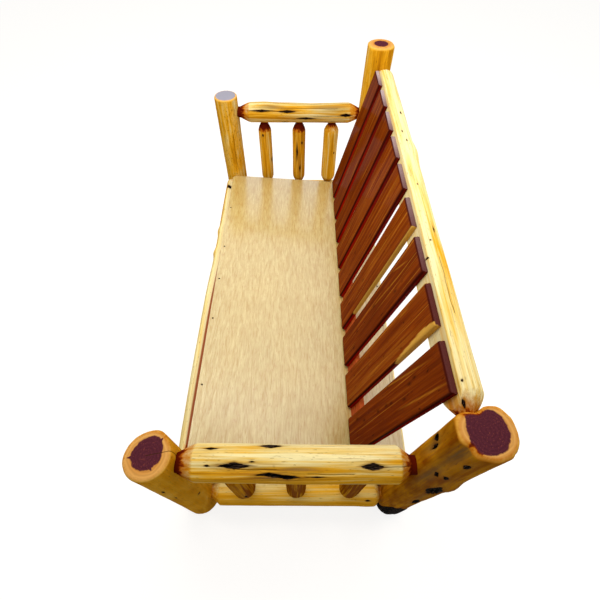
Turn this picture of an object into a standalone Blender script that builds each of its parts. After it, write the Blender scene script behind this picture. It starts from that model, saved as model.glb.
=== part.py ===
"""A log sofa: peeled cedar logs joined by round tenons, a plywood seat deck and a leaning slat back.

Lengths are in metres and angles in degrees. +Z is up, +X runs along the seat, the front faces -Y and the
floor is at height zero. The origin is on the floor, midway between the four posts.
"""

import math
import random

import bmesh
import bpy
from mathutils import Euler, Vector

# Posts
ARM_SPAN = 1.804  # between the post axes along the seat, which are also the arm axes
POST_SPAN = 0.758  # between the front and the back post axes
POST_DIAMETER = 0.124
FRONT_POST_RISE = 0.075  # top above the arm rail's axis
BACK_POST_RISE = 0.110  # top above the top rail's axis
POST_EDGE = 0.006  # eased edge at each end of a post
POST_CORE = 0.030  # wood left between a post's axis and the end of a tenon
FRONT_POST_LOBE = 0.0015  # swell of the log between its flutes
BACK_POST_LOBE = 0.0055

# Arms
ARM_HEIGHT = 0.595  # axis above the floor
ARM_DIAMETER = 0.098
ARM_TENON = 0.046
ARM_NECK = 0.003  # tenon that shows between the post and the taper
ARM_TAPER = 0.052
LOWER_HEIGHT = 0.122
LOWER_DIAMETER = 0.098
LOWER_TENON = 0.042
LOWER_NECK = 0.004
LOWER_TAPER = 0.022

# Spindles under each arm
SPINDLE_COUNT = 3
SPINDLE_END_GAP = 0.125  # from the posts to the axes of the outer spindles
SPINDLE_DIAMETER = 0.076
SPINDLE_TENON = 0.032
SPINDLE_TENON_DEPTH = 0.030
SPINDLE_NECK = 0.004
SPINDLE_TAPER = 0.034

# Seat deck, which slopes down towards the back
DECK_HEIGHT = 0.252  # top of the front edge above the floor
DECK_SLOPE = 3.55
DECK_THICKNESS = 0.019
DECK_NOSE = 0.0174  # front edge ahead of the front post axes
DECK_TAIL = 0.0312  # back edge behind the back post axes
DECK_CORNER = 0.024
DECK_SIDE_GAP = 0.002  # from each end of the deck to the posts

# Seat rails, sawn flat under the deck
FRONT_RAIL_DIAMETER = 0.120
FRONT_RAIL_FLAT = 0.016  # depth of the sawn flat
BACK_RAIL_DIAMETER = 0.098
BACK_RAIL_FLAT = 0.014
SEAT_TENON = 0.044
SEAT_NECK = 0.004
SEAT_TAPER = 0.014

# Slat back
SLAT_WIDTH = 0.142
SLAT_GAP = 0.041
SLAT_END_GAP = 0.095  # least distance from the post axes to the row of slats
SLAT_THICKNESS = 0.019
SLAT_LENGTH = 0.627
SLAT_EDGE = 0.0015
SLAT_SHIFT = -0.011  # middle of the row of slats from the middle of the seat
SLAT_LIFT = 0.011  # lower ends above the deck
SEAT_DEPTH = 0.598  # from the deck's front edge to the slats
TOP_RAIL_SET = 0.017  # axis behind the back post axes
TOP_RAIL_DIAMETER = 0.100
TOP_RAIL_FLAT = 0.020
TOP_RAIL_TENON = 0.044
TOP_RAIL_NECK = 0.010
TOP_RAIL_TAPER = 0.050
SLAT_PAST_RAIL = 0.027  # slat ends above the top rail's axis, along the slat
CLEAT_HEIGHT = 0.088
CLEAT_THICKNESS = 0.019

# Screws
SCREW_HEAD = 0.0084
SCREW_HEAD_DEPTH = 0.0036
SCREW_SHANK = 0.0042
SCREW_TIP = 0.006
SCREW_SINK = 0.0004  # head below the face it is driven into
DECK_SCREW_LENGTH = 0.045
DECK_SCREW_INSET = 0.0155  # from the front or back edge of the deck
DECK_SCREW_PLACES = (-0.547, -0.244, -0.027, 0.204, 0.527)
CLEAT_SCREW_LENGTH = 0.030
CLEAT_SCREW_HEIGHT = 0.048  # above the foot of the cleat's front face

# Fits and natural shape
FIT = 0.0003  # gap between pieces that touch
LOG_SWELL = 0.018  # share by which a log's girth wanders
LOG_CROOK = 0.003  # how far the middle of a log wanders from its axis
LEAST_WANDER = 0.4  # the mildest lobe or crook, as a share of the strongest
LOG_SIDES = 16
POST_SIDES = 24
SCREW_SIDES = 12
BODY_STATIONS = 6
TAPER_STATIONS = 3
CORNER_STEPS = 6
SHARP_ANGLE = 35

# Colours as linear RGB, with roughness and metallic
FINISHES = {
    "varnished_cedar_log": ((0.58, 0.33, 0.06), 0.35, 0.0),
    "red_cedar_board": ((0.15, 0.032, 0.007), 0.45, 0.0),
    "varnished_plywood": ((0.66, 0.46, 0.22), 0.30, 0.0),
    "bronze_deck_screw": ((0.10, 0.06, 0.03), 0.40, 1.0),
}

POST_RADIUS = POST_DIAMETER / 2
ALONG_SEAT = Vector((1, 0, 0))
TO_BACK = Vector((0, 1, 0))
UP = Vector((0, 0, 1))

# The deck's plane: along it to the back, and square to it
SLOPE = math.radians(DECK_SLOPE)
DECK_BACKWARD = Vector((0, math.cos(SLOPE), -math.sin(SLOPE)))
DECK_UP = Vector((0, math.sin(SLOPE), math.cos(SLOPE)))
DECK_FRONT = Vector((0, -POST_SPAN / 2 - DECK_NOSE, DECK_HEIGHT))
DECK_UNDER = DECK_FRONT - DECK_UP * (DECK_THICKNESS + FIT)
DECK_DEPTH = (POST_SPAN + DECK_NOSE + DECK_TAIL) / math.cos(SLOPE)

# The slats lean back from the deck until their backs lie on the top rail's flat
SLAT_FOOT = DECK_FRONT + DECK_BACKWARD * SEAT_DEPTH + DECK_UP * SLAT_LIFT
TOP_RAIL_REACH = SLAT_LENGTH - SLAT_PAST_RAIL  # along the slats from their feet to the rail's axis
TOP_RAIL_OFFSET = SLAT_THICKNESS + FIT + TOP_RAIL_DIAMETER / 2 - TOP_RAIL_FLAT  # behind their faces
TOP_RAIL_SETBACK = POST_SPAN / 2 + TOP_RAIL_SET - SLAT_FOOT.y
LEAN = math.asin(TOP_RAIL_SETBACK / math.hypot(TOP_RAIL_REACH, TOP_RAIL_OFFSET)) - math.atan2(
    TOP_RAIL_OFFSET, TOP_RAIL_REACH
)
SLAT_UP = Vector((0, math.sin(LEAN), math.cos(LEAN)))
SLAT_FORWARD = Vector((0, -math.cos(LEAN), math.sin(LEAN)))
SLAT_BACK = SLAT_FOOT - SLAT_FORWARD * (SLAT_THICKNESS + FIT)
TOP_RAIL_AXIS = SLAT_FOOT + SLAT_UP * TOP_RAIL_REACH - SLAT_FORWARD * TOP_RAIL_OFFSET

# As many slats as fit between the posts, and evenly spaced spindles
SLAT_ROOM = ARM_SPAN - 2 * SLAT_END_GAP
SLAT_PITCH = SLAT_WIDTH + SLAT_GAP
SLAT_COUNT = int((SLAT_ROOM + SLAT_GAP) / SLAT_PITCH)
SLAT_PLACES = [SLAT_SHIFT + (i - (SLAT_COUNT - 1) / 2) * SLAT_PITCH for i in range(SLAT_COUNT)]
SPINDLE_ROOM = POST_SPAN - POST_DIAMETER - 2 * SPINDLE_END_GAP
SPINDLE_PLACES = [SPINDLE_ROOM * (i / (SPINDLE_COUNT - 1) - 1 / 2) for i in range(SPINDLE_COUNT)]
SIDES = {"left": -1, "right": 1}


def clear_scene():
    for obj in list(bpy.data.objects):
        bpy.data.objects.remove(obj, do_unlink=True)


def new_collection(name):
    collection = bpy.data.collections.new(name)
    bpy.context.scene.collection.children.link(collection)
    return collection


def make_material(name):
    colour, roughness, metallic = FINISHES[name]
    material = bpy.data.materials.new(name)
    material.use_nodes = True
    shader = material.node_tree.nodes["Principled BSDF"]
    shader.inputs["Base Color"].default_value = (*colour, 1)
    shader.inputs["Roughness"].default_value = roughness
    shader.inputs["Metallic"].default_value = metallic
    material.diffuse_color = (*colour, 1)
    return material


clear_scene()
parts = new_collection("log_sofa")
helpers = new_collection("cutters_and_guides")
materials = {name: make_material(name) for name in FINISHES}
frame = bpy.data.objects.new("sofa_frame", None)
parts.objects.link(frame)


def add_part(name, mesh, material, location=(0, 0, 0), rotation=(0, 0, 0)):
    """A finished piece, placed under the frame's empty."""
    part = bpy.data.objects.new(name, mesh)
    parts.objects.link(part)
    part.parent = frame
    part.location = location
    part.rotation_euler = rotation
    mesh.materials.clear()
    mesh.materials.append(materials[material])
    mesh.shade_smooth()
    mesh.set_sharp_from_angle(angle=math.radians(SHARP_ANGLE))
    return part


def add_helper(name, data, location=(0, 0, 0), rotation=(0, 0, 0)):
    """A cutter or a guide, which is no piece of the sofa."""
    helper = bpy.data.objects.new(name, data)
    helpers.objects.link(helper)
    helper.location = location
    helper.rotation_euler = rotation
    helper.hide_render = True
    helper.display_type = "WIRE"
    return helper


def cut(part, cutter):
    boolean = part.modifiers.new(cutter.name, "BOOLEAN")
    boolean.operation = "DIFFERENCE"
    boolean.object = cutter


def turn_to(direction):
    """The rotation that points an object's Z axis along a direction."""
    return direction.to_track_quat("Z", "Y").to_euler()


def primitive_mesh(name, make):
    """A mesh holding one bmesh primitive."""
    mesh = bpy.data.meshes.new(name)
    work = bmesh.new()
    make(work)
    work.to_mesh(mesh)
    work.free()
    return mesh


def box_mesh(name, size):
    def make(work):
        bmesh.ops.create_cube(work, size=1)
        bmesh.ops.scale(work, vec=size, verts=work.verts)

    return primitive_mesh(name, make)


def mesh_of(curve):
    """A curve object's surface as a closed mesh. The curve object is removed."""
    guide = add_helper(curve.name, curve)
    bpy.context.view_layer.update()
    mesh = bpy.data.meshes.new_from_object(guide.evaluated_get(bpy.context.evaluated_depsgraph_get()))
    bpy.data.objects.remove(guide, do_unlink=True)
    work = bmesh.new()
    work.from_mesh(mesh)
    bmesh.ops.remove_doubles(work, verts=work.verts, dist=1e-6)
    bmesh.ops.recalc_face_normals(work, faces=work.faces)
    work.to_mesh(mesh)
    work.free()
    return mesh


def closed_outline(name, points):
    """A flat closed curve through points given as (x, y)."""
    curve = bpy.data.curves.new(name, "CURVE")
    spline = curve.splines.new("POLY")
    spline.points.add(len(points) - 1)
    for point, place in zip(spline.points, points):
        point.co = (*place, 0, 1)
    spline.use_cyclic_u = True
    return curve


def log_outline(name, sides, lobe):
    """A log's section at unit radius. Its lobes lie between the directions in which rails enter."""
    shape = random.Random(name)
    swells = [lobe * shape.uniform(LEAST_WANDER, 1) for _ in range(4)]
    points = []
    for i in range(sides):
        angle = math.tau * (i + 0.5) / sides
        swell = swells[int(angle / (math.pi / 2))] * math.sin(2 * angle) ** 2
        points.append(((1 + swell) * math.cos(angle), (1 + swell) * math.sin(angle)))
    return add_helper(name, closed_outline(name, points))


def log_mesh(name, stations, outline):
    """A log along Z. Each station is (distance, radius, x, y)."""
    curve = bpy.data.curves.new(name, "CURVE")
    curve.dimensions = "3D"
    curve.bevel_mode = "OBJECT"
    curve.bevel_object = outline
    curve.use_fill_caps = True
    spline = curve.splines.new("POLY")
    spline.points.add(len(stations) - 1)
    for point, (distance, radius, x, y) in zip(spline.points, stations):
        point.co = (x, y, distance, 1)
        point.radius = radius
    return mesh_of(curve)


def tenoned_stations(name, length, inset, diameter, tenon, neck, taper, rounded):
    """A log with a round tenon at each end. Its shoulders start a neck away from the mortised faces,
    which lie an inset from the tenons' ends. A rounded shoulder swells like a bullet, any other is a
    straight cone. The name seeds the log's own crook and girth."""
    shape = random.Random(name)
    radius = diameter / 2
    small = tenon / 2
    end = [(0, small, 0, 0)]
    steps = TAPER_STATIONS if rounded else 1
    for i in range(steps + 1):
        share = i / steps
        rise = math.sin(share * math.pi / 2) if rounded else share
        girth = small + (radius - small) * rise
        end.append((inset + neck + taper * share, girth, 0, 0))
    start = end[-1][0]
    lean = shape.uniform(0, math.tau)
    body = []
    for i in range(1, BODY_STATIONS):
        share = i / BODY_STATIONS
        bow = LOG_CROOK * math.sin(math.pi * share) * shape.uniform(LEAST_WANDER, 1)
        girth = radius * (1 - LOG_SWELL * shape.random())
        body.append((start + (length - 2 * start) * share, girth, bow * math.cos(lean), bow * math.sin(lean)))
    return end + body + [(length - distance, r, x, y) for distance, r, x, y in reversed(end)]


def mortise(part, name, mouth, direction, tenon, depth):
    """A round blind hole for a tenon. It starts well outside the log, and its flats clear the tenon."""
    radius = (tenon / 2 + FIT) / math.cos(math.pi / LOG_SIDES)
    length = depth + POST_DIAMETER

    def make(work):
        bmesh.ops.create_cone(
            work, cap_ends=True, segments=LOG_SIDES, radius1=radius, radius2=radius, depth=length
        )

    middle = mouth + direction * (depth - length / 2)
    cut(part, add_helper(name, primitive_mesh(name, make), middle, turn_to(direction)))


def sawn_flat(part, name, axis, square, distance, length):
    """Saws a log flat on the plane that lies a distance from its axis."""
    thickness = 2 * distance
    mesh = box_mesh(name, (length, 4 * POST_DIAMETER, thickness))
    tilt = Euler((math.atan2(-square.y, square.z), 0, 0))
    cut(part, add_helper(name, mesh, axis + square * (distance + thickness / 2), tilt))


round_log = log_outline("round_log_outline", LOG_SIDES, 0)
front_post_outline = log_outline("front_post_outline", POST_SIDES, FRONT_POST_LOBE / POST_RADIUS)
back_post_outline = log_outline("back_post_outline", POST_SIDES, BACK_POST_LOBE / POST_RADIUS)


def add_post(name, place, height, outline):
    radius = POST_RADIUS / math.cos(math.pi / POST_SIDES)
    stations = [
        (0, radius - POST_EDGE, 0, 0),
        (POST_EDGE, radius, 0, 0),
        (height - POST_EDGE, radius, 0, 0),
        (height, radius - POST_EDGE, 0, 0),
    ]
    return add_part(name, log_mesh(name, stations, outline), "varnished_cedar_log", place)


def post_place(side, row):
    return Vector((side * ARM_SPAN / 2, row * POST_SPAN / 2, 0))


FRONT_POST_HEIGHT = ARM_HEIGHT + FRONT_POST_RISE
BACK_POST_HEIGHT = TOP_RAIL_AXIS.z + BACK_POST_RISE
posts = {}
for side_name, side in SIDES.items():
    posts["front", side_name] = add_post(
        f"post_front_{side_name}", post_place(side, -1), FRONT_POST_HEIGHT, front_post_outline
    )
    posts["back", side_name] = add_post(
        f"post_back_{side_name}", post_place(side, 1), BACK_POST_HEIGHT, back_post_outline
    )


def add_rail_between_posts(name, span, start, direction, ends, diameter, tenon, neck, taper, rounded):
    """A log tenoned into the posts at its two ends. Start is on the first post's axis plane."""
    length = span - 2 * POST_CORE
    inset = POST_RADIUS - POST_CORE
    stations = tenoned_stations(name, length, inset, diameter, tenon, neck, taper, rounded)
    rail = add_part(
        name,
        log_mesh(name, stations, round_log),
        "varnished_cedar_log",
        start + direction * POST_CORE,
        turn_to(direction),
    )
    for post, axis, into in ((ends[0], start, -direction), (ends[1], start + direction * span, direction)):
        mouth = axis - into * POST_RADIUS
        mortise(post, f"{name}_mortise_{post.name}", mouth, into, tenon, inset + FIT)
    return rail


def add_arm(side_name, side):
    """An arm rail, a lower rail and the spindles between them."""
    ends = (posts["front", side_name], posts["back", side_name])
    top_axis = post_place(side, -1) + UP * ARM_HEIGHT
    low_axis = post_place(side, -1) + UP * LOWER_HEIGHT
    arm = add_rail_between_posts(
        f"arm_rail_{side_name}", POST_SPAN, top_axis, TO_BACK, ends,
        ARM_DIAMETER, ARM_TENON, ARM_NECK, ARM_TAPER, rounded=False,
    )
    lower = add_rail_between_posts(
        f"arm_lower_rail_{side_name}", POST_SPAN, low_axis, TO_BACK, ends,
        LOWER_DIAMETER, LOWER_TENON, LOWER_NECK, LOWER_TAPER, rounded=True,
    )
    floor_end = LOWER_HEIGHT + LOWER_DIAMETER / 2 - SPINDLE_TENON_DEPTH
    length = ARM_HEIGHT - ARM_DIAMETER / 2 + SPINDLE_TENON_DEPTH - floor_end
    for i, place in enumerate(SPINDLE_PLACES, 1):
        name = f"arm_spindle_{side_name}_{i}"
        stations = tenoned_stations(
            name, length, SPINDLE_TENON_DEPTH, SPINDLE_DIAMETER, SPINDLE_TENON, SPINDLE_NECK, SPINDLE_TAPER,
            rounded=True,
        )
        foot = Vector((side * ARM_SPAN / 2, place, floor_end))
        add_part(name, log_mesh(name, stations, round_log), "varnished_cedar_log", foot)
        head = foot + UP * length
        depth = SPINDLE_TENON_DEPTH + FIT
        mortise(lower, f"{name}_lower_mortise", foot + UP * SPINDLE_TENON_DEPTH, -UP, SPINDLE_TENON, depth)
        mortise(arm, f"{name}_upper_mortise", head - UP * SPINDLE_TENON_DEPTH, UP, SPINDLE_TENON, depth)


for side_name, side in SIDES.items():
    add_arm(side_name, side)


def add_seat_rail(row_name, row, diameter, flat):
    """A log along the seat, sawn flat on the plane of the deck's underside."""
    name = f"seat_rail_{row_name}"
    distance = diameter / 2 - flat
    y = row * POST_SPAN / 2
    z = (DECK_UNDER.dot(DECK_UP) - distance - y * DECK_UP.y) / DECK_UP.z
    start = Vector((-ARM_SPAN / 2, y, z))
    rail = add_rail_between_posts(
        name, ARM_SPAN, start, ALONG_SEAT, (posts[row_name, "left"], posts[row_name, "right"]),
        diameter, SEAT_TENON, SEAT_NECK, SEAT_TAPER, rounded=True,
    )
    sawn_flat(rail, f"{name}_flat", Vector((0, y, z)), DECK_UP, distance, ARM_SPAN)
    return rail


seat_rails = {
    "front": add_seat_rail("front", -1, FRONT_RAIL_DIAMETER, FRONT_RAIL_FLAT),
    "back": add_seat_rail("back", 1, BACK_RAIL_DIAMETER, BACK_RAIL_FLAT),
}


def add_deck():
    """One plywood sheet with rounded front corners."""
    half = ARM_SPAN / 2 - POST_RADIUS - DECK_SIDE_GAP
    points = [(half, DECK_DEPTH), (-half, DECK_DEPTH)]
    for middle_x, first in ((DECK_CORNER - half, math.pi), (half - DECK_CORNER, 1.5 * math.pi)):
        for i in range(CORNER_STEPS + 1):
            angle = first + math.pi / 2 * i / CORNER_STEPS
            points.append((middle_x + DECK_CORNER * math.cos(angle), DECK_CORNER * (1 + math.sin(angle))))
    curve = closed_outline("seat_deck", points)
    curve.dimensions = "2D"
    curve.fill_mode = "BOTH"
    curve.extrude = DECK_THICKNESS / 2
    place = DECK_FRONT - DECK_UP * (DECK_THICKNESS / 2)
    return add_part("seat_deck", mesh_of(curve), "varnished_plywood", place, (-SLOPE, 0, 0))


deck = add_deck()


def add_slats():
    slats = []
    for i, x in enumerate(SLAT_PLACES, 1):
        name = f"back_slat_{i}"
        middle = SLAT_FOOT + SLAT_UP * (SLAT_LENGTH / 2) - SLAT_FORWARD * (SLAT_THICKNESS / 2)
        mesh = box_mesh(name, (SLAT_WIDTH, SLAT_THICKNESS, SLAT_LENGTH))
        slat = add_part(name, mesh, "red_cedar_board", middle + ALONG_SEAT * x, (-LEAN, 0, 0))
        bevel = slat.modifiers.new("eased_edges", "BEVEL")
        bevel.width = SLAT_EDGE
        bevel.segments = 1
        slats.append(slat)
    return slats


slats = add_slats()


def add_top_rail():
    """The log that carries the slats' upper ends, sawn flat to their slant."""
    start = TOP_RAIL_AXIS - ALONG_SEAT * (ARM_SPAN / 2)
    rail = add_rail_between_posts(
        "back_top_rail", ARM_SPAN, start, ALONG_SEAT, (posts["back", "left"], posts["back", "right"]),
        TOP_RAIL_DIAMETER, TOP_RAIL_TENON, TOP_RAIL_NECK, TOP_RAIL_TAPER, rounded=False,
    )
    distance = TOP_RAIL_DIAMETER / 2 - TOP_RAIL_FLAT
    sawn_flat(rail, "back_top_rail_flat", TOP_RAIL_AXIS, SLAT_FORWARD, distance, ARM_SPAN)


add_top_rail()


def distance_to_deck(point):
    """How far up a slat from a point the deck's top lies, with the fit between."""
    return (DECK_FRONT + DECK_UP * FIT - point).dot(DECK_UP) / SLAT_UP.dot(DECK_UP)


CLEAT_FOOT = SLAT_BACK + SLAT_UP * distance_to_deck(SLAT_BACK)


def add_cleat():
    """A board behind the slats' feet. Its lower edge is bevelled to stand on the deck."""
    rear = CLEAT_FOOT - SLAT_FORWARD * CLEAT_THICKNESS
    rear_foot = rear + SLAT_UP * distance_to_deck(rear)
    corners = [CLEAT_FOOT, rear_foot, rear + SLAT_UP * CLEAT_HEIGHT, CLEAT_FOOT + SLAT_UP * CLEAT_HEIGHT]
    curve = closed_outline("slat_cleat", [(corner.y, corner.z) for corner in corners])
    curve.dimensions = "2D"
    curve.fill_mode = "BOTH"
    curve.extrude = ((SLAT_COUNT - 1) * SLAT_PITCH + SLAT_WIDTH) / 2
    quarter = math.pi / 2
    return add_part(
        "slat_cleat", mesh_of(curve), "red_cedar_board", (SLAT_SHIFT, 0, 0), (quarter, 0, quarter)
    )


cleat = add_cleat()


def screw_mesh(name, length, gap, rise):
    """A countersunk screw pointing down -Z from its head. A gap grows it and a rise lengthens its head."""
    head = SCREW_HEAD / 2 + gap
    shank = SCREW_SHANK / 2 + gap
    profile = [
        (0, rise),
        (head, rise),
        (head, 0),
        (shank, -SCREW_HEAD_DEPTH - gap),
        (shank, SCREW_TIP - length),
        (0, -length - gap),
    ]
    if rise == 0:
        profile.pop(1)
    mesh = bpy.data.meshes.new(name + "_profile")
    mesh.from_pydata([(x, 0, z) for x, z in profile], [(i, i + 1) for i in range(len(profile) - 1)], [])
    turned = add_helper(name + "_profile", mesh)
    screw = turned.modifiers.new("turned", "SCREW")
    screw.axis = "Z"
    screw.angle = math.tau
    screw.steps = SCREW_SIDES
    screw.render_steps = SCREW_SIDES
    screw.use_merge_vertices = True
    screw.merge_threshold = 1e-5
    bpy.context.view_layer.update()
    solid = bpy.data.meshes.new_from_object(turned.evaluated_get(bpy.context.evaluated_depsgraph_get()))
    bpy.data.objects.remove(turned, do_unlink=True)
    return solid


def add_screw(name, meshes, face, outward, cut_parts):
    """A screw driven into a face, with its hole in each board or log that it passes through."""
    solid, hole = meshes
    place = face - outward * SCREW_SINK
    add_part(name, solid, "bronze_deck_screw", place, turn_to(outward))
    cutter = add_helper(name + "_hole", hole, place, turn_to(outward))
    for part in cut_parts:
        cut(part, cutter)


def screw_pair(name, length):
    """The meshes of a screw and of its hole, which opens past the head."""
    solid = screw_mesh(name, length, 0, 0)
    grown = FIT / math.cos(math.pi / SCREW_SIDES)
    return solid, screw_mesh(name + "_hole", length, grown, SCREW_HEAD)


deck_screw = screw_pair("deck_screw", DECK_SCREW_LENGTH)
for row_name, distance in (("front", DECK_SCREW_INSET), ("back", DECK_DEPTH - DECK_SCREW_INSET)):
    for i, x in enumerate(DECK_SCREW_PLACES, 1):
        face = DECK_FRONT + DECK_BACKWARD * distance + ALONG_SEAT * x
        add_screw(f"deck_screw_{row_name}_{i}", deck_screw, face, DECK_UP, (deck, seat_rails[row_name]))

cleat_screw = screw_pair("cleat_screw", CLEAT_SCREW_LENGTH)
for i, (x, slat) in enumerate(zip(SLAT_PLACES, slats), 1):
    face = CLEAT_FOOT + SLAT_UP * CLEAT_SCREW_HEIGHT - SLAT_FORWARD * CLEAT_THICKNESS + ALONG_SEAT * x
    add_screw(f"cleat_screw_{i}", cleat_screw, face, -SLAT_FORWARD, (cleat, slat))
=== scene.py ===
# %% [markdown]
# # A log sofa, dressed for its portrait
#
# The sofa is built from peeled cedar logs, a plywood seat and a back of red cedar boards. The packed
# model already holds every piece at its real size and place. This lesson keeps those places and gives
# each piece the shape and finish of the real one: logs that swell and bulge, knots, sawn ends, tapered
# tenons, grain and varnish. The frame is loaded first, because every later step asks it where things are.

# %% Load the frame
import math
import random

import bmesh
import bpy
import numpy as np
from mathutils import Euler, Matrix, Vector


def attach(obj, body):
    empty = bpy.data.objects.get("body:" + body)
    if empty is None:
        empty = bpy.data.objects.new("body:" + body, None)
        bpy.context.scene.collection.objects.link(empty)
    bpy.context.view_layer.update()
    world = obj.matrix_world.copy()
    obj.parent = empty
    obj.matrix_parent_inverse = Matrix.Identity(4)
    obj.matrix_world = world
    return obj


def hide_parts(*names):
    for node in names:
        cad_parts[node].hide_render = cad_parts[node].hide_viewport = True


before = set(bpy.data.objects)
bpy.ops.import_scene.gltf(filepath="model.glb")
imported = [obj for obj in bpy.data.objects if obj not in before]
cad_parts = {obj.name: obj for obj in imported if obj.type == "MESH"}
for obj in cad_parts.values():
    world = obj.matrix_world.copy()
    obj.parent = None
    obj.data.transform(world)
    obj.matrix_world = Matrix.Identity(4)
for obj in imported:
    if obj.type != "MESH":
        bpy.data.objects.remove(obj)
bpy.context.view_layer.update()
print("nodes in the frame:", len(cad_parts))

# %% [markdown]
# ## Camera
#
# The picture was taken from just outside the right-hand arm, at a standing eye's height, looking down
# along the seat. A camera could be placed by trying angles, but here its place, tilt and lens were solved
# from the straight edges of the slats and the deck. The picture is a crop, so its optical axis lies a
# little below the middle of the frame, and the lens shift says so.

# %% Camera
FRAME_PIXELS, FOCAL_PIXELS, SENSOR_MM = 600, 363.76, 36
OPTICAL_AXIS = (298, 325)  # pixels from the left and from the top
CAMERA_PLACE = Vector((1.11825, 0.00396, 1.61424))
LOOKING_DOWN, LOOKING_ASIDE, CAMERA_ROLL = (math.radians(a) for a in (57.129, 0.0087, -0.5579))

scene = bpy.context.scene
lens = bpy.data.cameras.new("portrait_lens")
lens.sensor_width = SENSOR_MM
lens.lens = FOCAL_PIXELS * SENSOR_MM / FRAME_PIXELS
lens.shift_x = (FRAME_PIXELS / 2 - OPTICAL_AXIS[0]) / FRAME_PIXELS
lens.shift_y = (OPTICAL_AXIS[1] - FRAME_PIXELS / 2) / FRAME_PIXELS
camera = bpy.data.objects.new("portrait_camera", lens)
scene.collection.objects.link(camera)
level = math.cos(LOOKING_DOWN)
ahead = Vector((-level * math.cos(LOOKING_ASIDE), level * math.sin(LOOKING_ASIDE), -math.sin(LOOKING_DOWN)))
right = ahead.cross(Vector((0, 0, 1))).normalized()
right = Matrix.Rotation(CAMERA_ROLL, 3, ahead) @ right
up = right.cross(ahead)
camera.matrix_world = Matrix.Translation(CAMERA_PLACE) @ Matrix((right, up, -ahead)).transposed().to_4x4()
scene.camera = camera
print("lens", round(lens.lens, 2), "mm")

# %% [markdown]
# ## Light, floor and background
#
# Varnished wood needs something pale to reflect, and the picture's background is plain white. The world
# is white to the camera and to reflections, and gives a dimmer fill to everything else. A broad lamp
# hangs above the far end, so upward faces are brightest. A smaller one over the seat faces the far end,
# so that the far arm is bright and the outer sides of the near one stay dark. A third, behind the back,
# lights the seat between the slats. The floor is pale and mixes a little of its own white in, which
# leaves only a soft shadow under the sofa.

# %% Colours and nodes
NODE_FAMILIES = ("ShaderNode", "GeometryNode", "FunctionNode", "")
RGBA = {"data_type": "RGBA"}  # for a Mix of colours


def linear(code, alpha=1.0):
    """A hex sRGB colour as linear RGBA."""
    parts = [int(code[i : i + 2], 16) / 255 for i in (1, 3, 5)]
    return (*[c / 12.92 if c <= 0.04045 else ((c + 0.055) / 1.055) ** 2.4 for c in parts], alpha)


def add(tree, kind, *inputs, out=None, ramp=(), **named):
    """Adds a node and gives back one of its outputs. A kind in capitals is the operation of a Math node, or
    after VECTOR_ of a Vector Math node. The inputs are links, values or hex colours in the node's own order,
    and so are the named ones with a capital. The other names are settings. A ramp has places and colours."""
    if kind.isupper():
        named["operation"] = kind.removeprefix("VECTOR_")
        kind = "VectorMath" if kind.startswith("VECTOR_") else "Math"
    family = next(f for f in NODE_FAMILIES if hasattr(bpy.types, f + kind))
    node = tree.nodes.new(family + kind)
    for name in filter(str.islower, named):
        setattr(node, name, named[name])
    values = list(zip([s for s in node.inputs if s.enabled], inputs))
    values += [(node.inputs[name], value) for name, value in named.items() if not name.islower()]
    for socket, value in values:
        if isinstance(value, bpy.types.NodeSocket):
            tree.links.new(value, socket)
        else:
            socket.default_value = linear(value) if str(value).startswith("#") else value
    for place, code in ramp:
        stops = node.color_ramp.elements
        stop = stops.new(place) if 0 < place < 1 else stops[-int(place)]
        stop.color = linear(code)
    results = [s for s in node.outputs if s.enabled]
    return node.outputs[out] if out else results[0] if results else node


def new_finish(name):
    """A new material, and its empty node tree."""
    finish = bpy.data.materials.new(name)
    finish.use_nodes = True
    finish.node_tree.nodes.clear()
    return finish, finish.node_tree


def seen_directly(tree):
    """One for camera, mirror-like and see-through rays, and zero for the light that falls on things."""
    seen = add(tree, "LightPath", out="Is Camera Ray")
    rays = seen.node.outputs
    for kind in ("Is Glossy Ray", "Is Transmission Ray"):
        seen = add(tree, "MAXIMUM", seen, rays[kind])
    return seen


print("the floor's grey in linear light:", round(linear("#98948c")[0], 3))

# %% Light and floor
FILL, FLOOR_GLOW, FLOOR_HALF = 0.55, 0.80, 14.0
LAMPS = (  # name, place, what it faces, size and watts
    ("overhead_panel", Vector((-1.2, 0.3, 3.3)), Vector((0, 0, 0.3)), 4.0, 56),
    ("seat_panel", Vector((0.05, -0.35, 2.1)), Vector((-1.3, -0.1, 0.5)), 1.2, 27),
    ("back_panel", Vector((0.0, 1.5, 0.7)), Vector((0.0, 0.3, 0.25)), 1.2, 11),
)

scene.view_settings.view_transform = "Standard"
scene.world = bpy.data.worlds.new("white_studio")
scene.world.use_nodes = True
sky = scene.world.node_tree
sky.nodes.clear()
strength = add(sky, "MapRange", seen_directly(sky), 0, 1, FILL, 1)
studio = add(sky, "Background", "#ffffff", strength)
add(sky, "OutputWorld", studio)

for name, place, target, size, watts in LAMPS:
    lamp_data = bpy.data.lights.new(name, "AREA")
    lamp_data.size = size
    lamp_data.energy = watts
    lamp = bpy.data.objects.new(name, lamp_data)
    lamp.location = place
    lamp.rotation_euler = (target - place).to_track_quat("-Z", "Y").to_euler()
    lamp.visible_glossy = lamp.visible_camera = False
    scene.collection.objects.link(lamp)

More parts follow.
